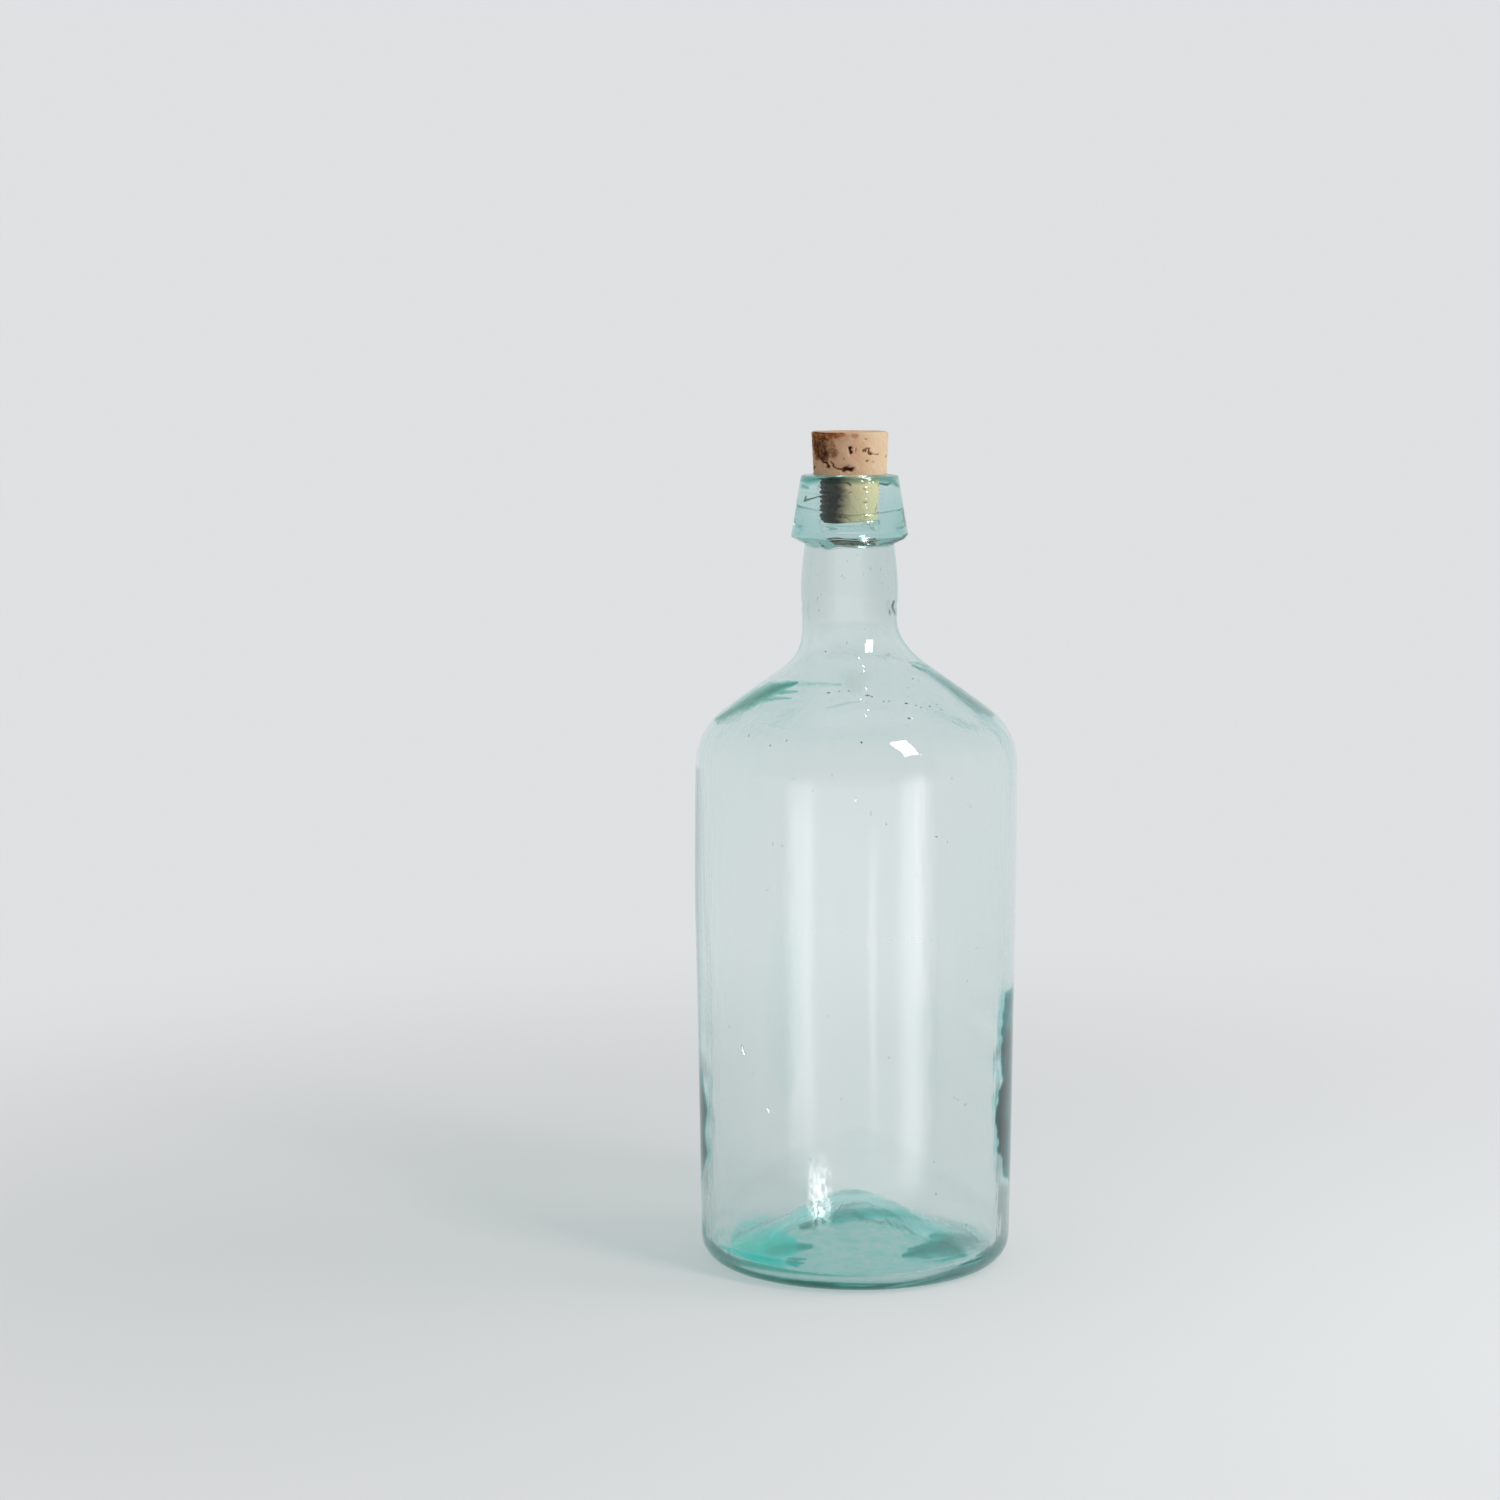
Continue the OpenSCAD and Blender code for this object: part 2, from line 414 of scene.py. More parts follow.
def glass_path():
    """Outline of the glass, from the middle of the base up the outside and down the inside."""
    mouth_r = EDGE_R / 2
    lip_bore = bore_r(LIP_Z)
    shoulder_in = swing(BODY_R - SHOULDER_R, SHOULDER_H, SHOULDER_R - SHOULDER_WALL,
                        SHOULDER_R - BODY_WALL, TURN, 0)
    skirt = swing(COLLAR_R - EDGE_R, TUCK_Z, EDGE_R, EDGE_R, SKIRT_FROM_DEG, 0)
    corner = swing(COLLAR_TOP_R - LIP_EDGE_R, LIP_Z - LIP_CROWN - LIP_EDGE_R, LIP_EDGE_R, LIP_EDGE_R,
                   0, CORNER_TO_DEG)
    mouth = swing(lip_bore + mouth_r, LIP_Z - mouth_r, mouth_r, mouth_r, 90, 180)
    pieces = [
        (kick_curve(FOOT_IN_R, 0, KICK_H), 0.9, UNDER),
        ([[FOOT_IN_R, 0], [FOOT_OUT_R, 0]], 0.5, HEEL),
        (swing(FOOT_OUT_R, HEEL_R, HEEL_R, HEEL_R, -90, 0), 0.6, HEEL),
        ([[BASE_R, HEEL_R], [BODY_R, TAPER_H]], 1.2, BODY),
        ([[BODY_R, TAPER_H], [BODY_R, SHOULDER_H]], 1.2, BODY),
        (swing(BODY_R - SHOULDER_R, SHOULDER_H, SHOULDER_R, SHOULDER_R, 0, TURN), 0.6, SHOULDER),
        ([ROUND_END, [ROOT_START_R, ROOT_Z]], 0.6, SHOULDER),
        (swing(ROOT_MID_R, NECK_Z, ROOT_R, ROOT_R, 180 + TURN, 180), 0.7, SHOULDER),
        (neck_curve(0), 0.6, NECK),
        ([[NECK_TOP_R, COLLAR_Z], skirt[0]], 0.22, SKIRT),
        (skirt, 0.15, SKIRT),
        ([skirt[-1], corner[0]], 0.22, COLLAR),
        (corner, 0.12, COLLAR),
        ([corner[-1], mouth[0]], 0.2, LIP),
        (mouth, 0.1, LIP),
        ([mouth[-1], [bore_r(BORE_Z), BORE_Z]], 0.22, BORE),
        ([[bore_r(BORE_Z), BORE_Z], [NECK_TOP_R - NECK_WALL, COLLAR_Z]], 0.3, BORE),
        (neck_curve(NECK_WALL)[::-1], 0.8, NECK_IN),
        (swing(ROOT_MID_R, NECK_Z, ROOT_R + NECK_WALL, ROOT_R + SHOULDER_WALL, 180, 180 + TURN), 0.9,
         SHOULDER_IN),
        ([[ROOT_IN_R, ROOT_IN_Z], shoulder_in[0]], 1.1, SHOULDER_IN),
        (shoulder_in, 1.0, SHOULDER_IN),
        ([[BODY_R - BODY_WALL, SHOULDER_H], [BODY_R - BODY_WALL, TAPER_H]], 1.4, BODY_IN),
        ([[BODY_R - BODY_WALL, TAPER_H], [BASE_R - HEEL_WALL, FLOOR_WALL + HEEL_IN_R]], 1.4, BODY_IN),
        (swing(FLOOR_R, FLOOR_WALL + HEEL_IN_R, HEEL_IN_R, HEEL_IN_R, 0, -90), 0.6, HEEL_IN),
        (kick_curve(FLOOR_R, FLOOR_WALL, KICK_IN_H)[::-1], 0.7, FLOOR_IN),
    ]
    path, zones = join_path(pieces)
    for first, last, passes in EASED:
        ease(path, zones, first, last, passes)
    return path, zones


GLASS_PATH, GLASS_ZONE = glass_path()
OUTER = GLASS_PATH[(GLASS_ZONE >= HEEL) & (GLASS_ZONE <= COLLAR)]


def outer_r(z):
    return np.interp(z, OUTER[:, 1], OUTER[:, 0])


def front(degrees):
    """Angle round the axis, counted from the front and growing to the right."""
    return radians(degrees - 90)


# The crease in the collar: degrees from the front, height
CREASE = [(-180, 227.5), (-80, 226.4), (-35, 225.2), (0, 223.9), (25, 224.4), (75, 225.5), (180, 227.5)]
CREASE_KNOB, CREASE_TAIL = (805, 500), (818, 497)
# Small lumps of the collar's front that catch the light: photo pixel, half-width in degrees, height
COLLAR_LUMPS = [
    (863, 479, 6, 0.16), (870, 484, 5, 0.14), (865, 506, 4, 0.14), (868, 523.5, 5, 0.18), (866, 539, 7, 0.22),
    (812, 488, 4, 0.08),
]
# Thick places of the wall and the shoulder: angle, height, half-width in degrees, half-height, thickness
THICK_WALL = [(0.0, 52, 18, 26, 1.7), (pi, 42, 14, 22, 0.7)]
THICK_SHOULDER = [(front(-42), 169, 16, 5, 0.9), (front(48), 169, 16, 5, 0.8)]
# Lumps of the collar's lower edge that hang down: photo pixel, half-width in degrees, how far
DRIPS = [(829, 549, 9, 0.75), (812, 545, 12, 0.3)]
RAISED_EDGE_DEG, RAISED_EDGE_HALF_DEG, RAISED_EDGE = 62, 25, 0.35
# The groove that the tool left round the neck: height, half-width, depth
WAIST_Z, WAIST_HALF, WAIST_DEPTH = 196.6, 0.7, 0.22
# Heights between which the body's unevenness ends, the neck's starts and the neck's ends
BODY_ENDS, NECK_STARTS, NECK_ENDS = (180, 205), (183, 196), (211, 214)
# Millimetres round the collar for each radian
COLLAR_MID_R = 16


def crease_mark(theta, z):
    degrees, height = zip(*CREASE)
    ring = np.interp(wrapped(theta + pi / 2), np.radians(degrees), height)
    uneven = 0.6 + 0.4 * np.clip(waves(64, theta, z * 0, 6, (2, 8), (10, 20)), -1, 1)
    return np.exp(-((z - ring) / 0.2) ** 2) * uneven


def glass_push(theta, r, z):
    """How far each point of the glass is moved along its normal."""
    zone = GLASS_ZONE[:, None]
    outer = zone <= LIP
    body = between(z, (1.5, 12), BODY_ENDS)
    off_axis = smooth(r, 1, 12)
    push = np.zeros(np.broadcast(theta, z).shape)

    # Slow unevenness, drawn ripples and the fine skin of the outer surface
    push += outer * body * 0.08 * waves(11, theta, z, 14, (1, 5), (70, 240))
    push += outer * body * 0.012 * waves(12, theta, z, 26, (9, 30), (60, 300))
    push += outer * body * 0.004 * waves(13, theta, z, 40, (24, 70), (9, 28))
    # The inner surface was never touched by a mould or tool: it flows more
    inside = (zone >= NECK_IN) & (zone <= BODY_IN)
    push += inside * 0.10 * waves(21, theta, z, 14, (1, 5), (60, 200)) * (1 - smooth(z, 180, 200) * 0.7)
    push += inside * 0.012 * waves(22, theta, z, 24, (6, 22), (50, 260))

    # Thick patches low on the right and left walls
    wavy = radians(2.5) * waves(31, theta * 0, z, 8, (0, 0), (9, 40))
    for angle, height, wide, tall, thick in THICK_WALL:
        push += (zone == BODY_IN) * thick * patch(theta + wavy, z, angle, height, wide, tall)
    # Thick glass in the shoulder, left and right
    for angle, height, wide, tall, thick in THICK_SHOULDER:
        push += (zone == SHOULDER_IN) * thick * patch(theta, z, angle, height, wide, tall)

    # The pushed-up base is uneven, above and below
    floor = (zone == FLOOR_IN) | (zone == HEEL_IN)
    rise = between(r, (2, 16), (40, 43))
    push += floor * rise * 0.12 * waves(41, theta, r, 12, (1, 6), (16, 60))
    under = (zone == UNDER) * between(r, (2, 12), (28, FOOT_IN_R))
    push += under * 0.12 * waves(42, theta, r, 12, (1, 6), (14, 50))

    # Neck: slow waves, and a shallow groove where the tool gripped it
    neck = outer * between(z, NECK_STARTS, NECK_ENDS)
    push += neck * 0.02 * waves(51, theta, z, 12, (1, 6), (10, 40))
    waist_z = WAIST_Z + 0.5 * np.sin(theta * 2 + 0.6) + 0.2 * np.sin(5 * theta)
    groove = np.exp(-((z - waist_z) / WAIST_HALF) ** 2)
    push -= neck * WAIST_DEPTH * groove * (0.6 + 0.4 * np.cos(theta * 2))

    # Collar: tooling lines round it and a crease where the laid-on glass met itself
    collar = (zone == COLLAR) * between(z, (TUCK_Z - 0.5, TUCK_Z + 1.5), (LIP_Z - 1.6, LIP_Z - 0.9))
    sag = 0.25 * np.sin(theta + 0.8) + 0.15 * np.sin(3 * theta)
    push += collar * 0.002 * waves(61, theta * 0, z + sag, 16, (0, 0), (1.6, 5))
    push += collar * 0.04 * waves(62, theta, z, 12, (1, 6), (8, 30))
    push += (zone == SKIRT) * 0.12 * waves(63, theta, z, 10, (2, 9), (6, 30))
    push -= collar * 0.28 * crease_mark(theta, z)
    knob, tail = place(*CREASE_KNOB), place(*CREASE_TAIL)
    crack = [(angle * COLLAR_MID_R, height) for angle, height in (knob, tail)]
    push -= collar * 0.2 * line_mark(theta * COLLAR_MID_R, z, crack, 0.22)
    push -= collar * 0.3 * patch(theta, z, knob[0], knob[1], 1.6, 0.45)
    for px, py, wide, rise in COLLAR_LUMPS:
        push += collar * rise * patch(theta, z, *place(px, py), wide, 0.5)
    # Lip and bore: softly uneven, with rings that the tool left in the bore, mostly on its left
    push += (zone == LIP) * smooth(r, 11, 12) * 0.08 * waves(65, theta, r, 8, (2, 8), (4, 12))
    bore = (zone == BORE) * between(z, (BORE_Z - 0.5, BORE_Z + 0.6), (LIP_Z - 1.4, LIP_Z - 0.6))
    rings = np.clip(waves(66, theta * 0, z + 0.2 * np.sin(theta), 10, (0, 0), (1.0, 2.4)), -1.3, 1.8)
    leftward = np.clip(-np.cos(theta + 0.3), 0, 1)
    push -= bore * (0.11 + (0.012 + 0.055 * leftward) * rings)
    return push * off_axis


def glass_drop(theta, z):
    """The collar's lower edge sags unevenly, with a drip on its left front; it moves straight up or down."""
    zone = GLASS_ZONE[:, None]
    near = np.where(zone <= NECK, smooth(z, 211.5, COLLAR_Z), 1 - smooth(z, COLLAR_Z, 221))
    near = near * (zone >= NECK) * (zone <= COLLAR)
    sag = 0.22 * waves(71, theta, z * 0, 7, (1, 6), (10, 20))
    for px, py, wide, down in DRIPS:
        sag = sag - down * patch(theta, 0, place(px, py)[0], 0, wide, 1)
    return near * (sag + RAISED_EDGE * patch(theta, 0, front(RAISED_EDGE_DEG), 0, RAISED_EDGE_HALF_DEG, 1))


# Edge of the thick dark patch in the right and left walls: height, distance from the middle, strength
RIGHT_STREAK = [
    (18, 46.6, 0), (24, 46, 0.8), (29, 44.2, 1.5), (37, 42, 2.3), (42, 41.1, 2.9), (47, 40.9, 3),
    (53, 41.9, 2.4), (58, 42.4, 2.1), (66, 42.5, 1.9), (76, 42.7, 1.4), (82, 42.9, 1.3), (85, 43.4, 0),
]
LEFT_STREAK = [
    (4, 45.4, 0), (7, 44.6, 0.8), (11, 45, 0.7), (13, 46.2, 0.2), (24, 46.2, 0.8), (29, 45.7, 1.5),
    (34.6, 44.4, 2.2), (40, 45.2, 1.8), (47.7, 44.6, 2.1), (51, 45.1, 1.9), (55, 45.7, 1.4), (63, 46.3, 0),
]
# Painted shade along the body's left edge, in the same columns
LEFT_EDGE_SHADE = [
    (52, 46.2, 0), (60, 46.2, 1), (78, 46.4, 0.9), (120, 46.6, 0.8), (150, 46.6, 0.6), (160, 46.6, 0),
]
STREAK_BLUE = (0.004, 0.25, 0.27)
# Dark strokes on the front of the shoulder: photo pixels, half-width, strength, colour
LEFT_TEAL = (0.06, 0.38, 0.30)
RIGHT_TEAL = (0.26, 0.50, 0.48)
SHOULDER_STROKES = [
    ([(716, 719, 1.5), (726, 714, 3), (737, 707.5, 4.5), (749, 701, 6), (761, 695, 7), (772, 690, 6),
      (784, 686, 3.5), (797, 683.5, 1.2)], 2.1, LEFT_TEAL),
    ([(768, 694, 3.5), (784, 692.6, 2), (798, 692, 0.7)], 0.9, LEFT_TEAL),
    ([(762, 700, 3), (778, 699, 1.6), (792, 698.4, 0.6)], 0.8, LEFT_TEAL),
    ([(793, 684.5, 3), (818, 684.5, 3), (841, 684.5, 1)], 0.35, LEFT_TEAL),
    ([(912, 665, 0.8), (930, 672, 2.2), (944, 681.5, 3.2), (962, 694.5, 5), (978, 705.5, 4.5),
      (992, 715, 2)], 1.6, RIGHT_TEAL),
    ([(908, 662, 0.5), (918, 663, 0.9), (928, 668, 1.6)], 1.2, RIGHT_TEAL),
    ([(826, 708, 0.8), (839, 705, 1.6), (848, 702.5, 1.6), (860, 702, 0.6)], 0.5, RIGHT_TEAL),
]
# Blots in the thick glass of the floor: photo pixels, half-width, strength, colour
TURQUOISE, DEEP_TEAL, BAND_TEAL = (0.008, 0.95, 0.82), (0.006, 0.40, 0.36), (0.06, 0.60, 0.55)
FLOOR_STROKES = [
    ([(740, 1242, 10), (758, 1244, 17), (774, 1245, 15), (790, 1247, 9)], 2.4, TURQUOISE),
    ([(772, 1249, 8), (792, 1248, 6), (811, 1246.5, 2.5)], 1.9, (0.01, 0.46, 0.4)),
    ([(789, 1261, 2), (797, 1261.5, 3.5), (806, 1261, 1.5)], 1.2, DEEP_TEAL),
    ([(903, 1256, 2), (924, 1250, 7), (944, 1246, 10), (958, 1250, 6)], 2.1, DEEP_TEAL),
    ([(908, 1249.5, 1), (926, 1244.5, 3), (946, 1241, 5)], 1.8, DEEP_TEAL),
    ([(930, 1236, 2.5), (948, 1236.5, 5), (966, 1239, 4.5), (980, 1243, 2)], 1.8, DEEP_TEAL),
    ([(956, 1244, 9), (986, 1245, 5)], 0.9, (0.3, 0.42, 0.4)),
    ([(803, 1227, 3), (814, 1224, 5), (826, 1221, 4)], 1.8, (0.09, 0.4, 0.36)),
    ([(820, 1222, 5), (840, 1218.5, 7), (862, 1214, 5.5), (890, 1212, 5), (904, 1215, 3)], 1.7, BAND_TEAL),
    ([(900, 1214, 4), (930, 1221.5, 3), (960, 1231, 1.5)], 0.9, BAND_TEAL),
]
FLOOR_AQUA, DOME_AQUA = (0.15, 0.88, 0.76), (0.40, 0.82, 0.78)
# The skirt's tint is painted shade under the collar's lower edge; the crease's tint is painted shade along
# the crease
LIP_TEAL, TOP_TEAL, SKIRT_SHADE = (0.12, 0.27, 0.23), (0.28, 0.50, 0.45), (0.2, 0.38, 0.35)
CREASE_SHADE, FLECK = (0.20, 0.26, 0.19), (0.05, 0.09, 0.08)
HEEL_GREEN, HEEL_BLUE = (0.05, 0.52, 0.36), (0.3, 0.55, 0.55)
# Blotches under the collar's upper edge, painted shade along its lower edge and painted shade in the crack
# beside the crease
TOP_STROKES = [
    ([(801, 480, 1.5), (808, 480, 4), (817, 479, 3.5), (822, 478, 1)], 2.2, (0.16, 0.52, 0.46)),
    ([(803, 486, 2), (808, 488, 1)], 1.6, (0.16, 0.52, 0.46)),
    ([(876, 478, 1), (884, 479, 2.5), (893, 481, 3), (898, 486, 1.5)], 2, (0.2, 0.46, 0.42)),
    ([(879, 483.5, 0.6), (887, 484.5, 0.9), (891, 483, 0.5)], 2, (0.03, 0.09, 0.08)),
    ([(801.5, 475.5, 0.6), (812, 474.5, 0.8), (820, 475.5, 0.6)], 2, (0.05, 0.16, 0.14)),
    # Painted shade along the collar's lower edge
    ([(789, 538, 0.8), (798, 541.5, 1.2), (806, 545, 1), (822, 547, 0.7)], 2, (0.08, 0.2, 0.18)),
    ([(880, 545, 0.7), (893, 542, 1), (902, 538.5, 1.2), (908, 534, 0.8)], 2, (0.08, 0.2, 0.18)),
    # Painted shade in the crack beside the crease
    ([(806, 496, 0.5), (805, 500.5, 1), (812, 498.5, 0.6), (820, 496, 0.4)], 1.8, (0.1, 0.14, 0.1)),
]
# Colours of the painted shade on the neck's sides and along the body's left edge
NECK_SIDE_SHADE, LEFT_SHADE_GREY = (0.86, 0.87, 0.87), (0.36, 0.42, 0.43)
NECK_STROKES = [([(894, 601, 1.0), (892.6, 606, 1.6), (893.6, 610, 1.0), (895, 614, 1.0)], 2.6, FLECK),
                ([(803.5, 602, 0.5), (803, 611, 0.8), (804, 620, 0.5)], 0.6, FLECK)]
# Streaks in the walls and painted shade along the left edge: edge, side, softness, colour, strength, and
# whether they look darkest along the wall
WALL_STREAKS_AND_SHADE = [
    (RIGHT_STREAK, 1, 0.45, STREAK_BLUE, 1.45, True), (LEFT_STREAK, -1, 0.6, STREAK_BLUE, 1.6, True),
    (LEFT_EDGE_SHADE, -1, 0.5, LEFT_SHADE_GREY, 1, False),
]
# How far past the sides the streaks run to the back, and how much shorter they get there
STREAKS_END, STREAK_SHORTENING = (-0.08, 0.24), 5
# Where strokes on the front of shoulder and collar end, as the sine of the angle
FRONT_END = 0.25
# Darker glass round the heel: degrees round the axis, strength, colour
HEEL_TONES = [(225, 1.2, HEEL_GREEN), (330, 0.7, HEEL_BLUE)]


def glass_tint(theta, r, z):
    """Strength, raggedness and colour of the streaks and of the painted shade, and 1 where one looks darkest
    along the wall.
    """
    zone = GLASS_ZONE[:, None]
    shape = np.broadcast(theta, z).shape
    strength, ragged, edgewise = np.zeros(shape), np.zeros(shape), np.zeros(shape)
    colour = np.ones((*shape, 3)) * 1e-6
    weight = np.ones(shape) * 1e-6

    def lay(amount, tone, torn=0.0):
        nonlocal strength, colour, weight, ragged
        amount = np.broadcast_to(amount, shape)
        strength = np.maximum(strength, amount)
        colour = colour + (amount ** 2)[..., None] * np.array(tone)
        weight = weight + amount ** 2
        ragged = np.maximum(ragged, torn * (amount > 0.01))

    near_side = (zone == BODY) * (1 - smooth(np.sin(theta), *STREAKS_END))
    stretch = 1 + STREAK_SHORTENING * np.clip(np.sin(theta), 0, 1) ** 2
    for streak, sign, fade, tone, gain, flat in WALL_STREAKS_AND_SHADE:
        height, edge, level = (np.array(column) for column in zip(*streak))
        middle = (height[0] + height[-1]) / 2
        bent = middle + (z - middle) * stretch
        ripple = 0.35 * waves(35, theta * 0, z, 8, (0, 0), (4, 22)) * (sign > 0)
        past = sign * r * np.cos(theta) - np.interp(bent, height, edge) - ripple
        outward = 1 - 0.45 * smooth(past, 1.5, 4.5)
        amount = near_side * smooth(past, -fade, fade) * outward * np.interp(bent, height, level) * gain
        lay(amount, tone, 0.15)
        if flat:
            edgewise = np.maximum(edgewise, smooth(amount, 0.0, 0.3))

    px, py = photo_pixel(r * np.cos(theta) + lean(z), r * np.sin(theta), z)
    in_front = np.sin(theta) < FRONT_END
    floor = (zone == FLOOR_IN) | (zone == HEEL_IN)
    edges = ((zone == COLLAR) | (zone == SKIRT)) * in_front
    painted = [((zone == SHOULDER) * in_front, SHOULDER_STROKES, 1.1), (floor, FLOOR_STROKES, 1.0),
               (edges, TOP_STROKES, 0.8), ((zone == NECK) * (np.sin(theta) < 0), NECK_STROKES, 0.5)]
    for region, strokes, torn in painted:
        for pixels, level, tone in strokes:
            lay(region * level * stroke_mark(px, py, pixels), tone, torn)
    lay(floor * smooth(r, 11, 17) * (r < 40) * 0.38, FLOOR_AQUA, 1.1)
    lay(floor * (1 - smooth(r, 9, 15)) * 0.45, DOME_AQUA, 0.3)
    # Painted shade on the neck's sides
    neck = ((zone == NECK) | (zone == SHOULDER)) * smooth(z, 184, 197)
    lay(neck * 1.2 * smooth(np.abs(np.cos(theta)), 0.15, 0.75), NECK_SIDE_SHADE)

    uneven = np.clip(waves(36, theta, z * 0, 8, (1, 7), (10, 20)), -1.6, 1.6)
    lay((zone == LIP) * (1.1 + 0.3 * uneven), LIP_TEAL, 0.5)
    top = (zone == COLLAR) * smooth(z, LIP_Z - 3.2, LIP_Z - 1.0)
    lay(top * (1.3 + 0.5 * np.clip(-np.cos(theta), 0, 1) + 0.3 * uneven), TOP_TEAL, 0.7)
    # Painted shade under the collar's lower edge
    lay((zone == SKIRT) * (0.6 + 0.2 * uneven), SKIRT_SHADE, 0.3)
    # Painted shade along the collar's crease
    lay((zone == COLLAR) * 0.9 * crease_mark(theta, z), CREASE_SHADE, 0.2)
    rim = (zone == HEEL) * between(z, (0.6, 1.8), (3.0, 4.6))
    for degrees, level, tone in HEEL_TONES:
        lay(rim * level * np.clip(np.cos(theta - radians(degrees)), 0, 1) ** 2, tone, 0.2)
    return strength, ragged, colour / weight[..., None], edgewise


# Specks on the shoulder and body: photo pixel, radius, tallness
DARK_SPECKS = [
    (828, 693.5, 0.42, 0.5), (838.7, 692, 0.2, 0.6), (848.4, 691.6, 0.24, 0.5), (868, 696, 0.55, 0.45),
    (872, 697.5, 0.35, 0.4), (884, 702, 0.22, 0.5), (889.5, 701.8, 0.22, 0.5), (907, 704, 0.42, 0.5),
    (917, 706, 0.22, 0.6), (922, 708, 0.26, 0.5), (931, 707, 0.3, 0.6), (938, 705, 0.22, 0.6),
    (942.5, 710.5, 0.24, 0.6), (910, 719, 0.45, 0.6), (914, 679.5, 0.22, 0.8), (861.5, 743, 0.2, 1.2),
    (769.5, 746, 0.16, 1.3), (786, 741, 0.14, 1.3), (825, 652, 0.2, 0.8), (937, 837, 0.3, 0.4),
]
BRIGHT_SEEDS = [
    (859, 658, 0.4, 0.9), (863.6, 666.4, 0.36, 0.9), (864, 671.6, 0.45, 0.9), (866.4, 689, 0.36, 1),
    (860.5, 699.6, 0.4, 0.8), (868.4, 710, 0.42, 0.9), (865.8, 716, 0.35, 0.9), (912, 718, 0.3, 0.6),
    (743, 1050, 0.45, 2.6), (768, 1110, 0.4, 1.4), (856, 800, 0.25, 2),
]
# Small lumps that catch the key light on the collar: photo pixel, half-width, tallness
COLLAR_GLINTS = [
    (864, 476.5, 0.7, 0.5), (869, 479, 0.6, 0.7), (873, 482.5, 0.4, 0.6), (862.5, 481, 0.4, 0.6),
    (866.5, 487, 0.35, 0.7), (867, 492.5, 0.3, 0.8), (866, 499, 0.3, 0.6), (866, 507, 0.35, 0.8),
    (868, 514, 0.3, 0.7), (864.5, 540, 0.9, 0.7), (868.5, 543.5, 0.5, 0.7), (871.5, 521.5, 0.4, 0.6),
]
SPECK_SCALE, BEAD_SCALE = 1.45, 1.6
# Seeded bubbles in body, neck and collar: number, lowest, highest, range of radius, range of tallness
WALL_BUBBLES = [(70, 16, 172, (0.12, 0.3), (1, 2.6)), (26, 186, 213, (0.1, 0.22), (1, 3))]
COLLAR_BUBBLES = [(60, 219, 233, (0.08, 0.2), (0.4, 1))]
# How deep under the outer surface bubbles, collar bubbles, specks and beads lie, and how dark specks are
BUBBLE_DEPTH, COLLAR_BUBBLE_DEPTH, SPECK_DEPTH, BEAD_DEPTH, SPECK_DARK = 0.9, 2.4, 0.6, -0.06, 0.9
# Share of their radius that bubbles and beads have across the wall
BUBBLE_FLAT, BEAD_FLAT = 0.7, 0.06
BALL_ROWS, BALL_COLUMNS = 6, 10
# The key light: degrees to the right of the front and up, distance and height aimed at, in millimetres
KEY_AZIMUTH, KEY_ELEVATION, KEY_DISTANCE, AIM_Z = 43.0, 46.0, 950.0, 150.0


def scatter(rng, kinds):
    """Seeded bubbles: angle, height, radius and tallness of each."""
    return [(rng.uniform(-pi, pi), rng.uniform(low, high), rng.uniform(*radius), rng.uniform(*tall))
            for count, low, high, radius, tall in kinds for _ in range(count)]


def at_pixels(spots, scale):
    """Angle, height, radius and tallness of what stands at photo pixels."""
    return [(*place(px, py), scale * size, tall) for px, py, size, tall in spots]


def ball():
    """Points and faces of a small closed ball of radius 1, facing inward."""
    tilt = np.pi * np.arange(1, BALL_ROWS)[:, None] / BALL_ROWS
    turn = angles(BALL_COLUMNS)
    rings = [np.sin(tilt) * np.cos(turn), np.sin(tilt) * np.sin(turn), np.cos(tilt) + 0 * turn]
    points = np.concatenate([[[0, 0, 1]], np.stack(rings, axis=-1).reshape(-1, 3), [[0, 0, -1]]])
    return points, *turned_faces(BALL_ROWS - 1, BALL_COLUMNS)


def toward(azimuth, elevation):
    """Unit direction from degrees to the right of the front and degrees up."""
    a, e = radians(azimuth), radians(elevation)
    return np.array([sin(a) * cos(e), -cos(a) * cos(e), sin(e)])


def gleam_way(point):
    """Direction that a face at a point must have to mirror the key light into the camera."""
    to_key = toward(KEY_AZIMUTH, KEY_ELEVATION) * KEY_DISTANCE + [0, 0, AIM_Z] - point
    to_camera = CAMERA_MM - point
    half = to_key / np.linalg.norm(to_key) + to_camera / np.linalg.norm(to_camera)
    return half / np.linalg.norm(half)


def surface_of(push):
    """Function that gives the true outer radius, unevenness and all, at an angle and height."""
    outer = np.flatnonzero((GLASS_ZONE >= HEEL) & (GLASS_ZONE <= COLLAR))

    def true_r(angle, z):
        nearest = outer[np.argmin(np.abs(GLASS_PATH[outer, 1] - z))]
        column = round(angle / (2 * pi) * GLASS_SEGMENTS) % GLASS_SEGMENTS
        return float(outer_r(z)) + push[nearest, column]

    return true_r


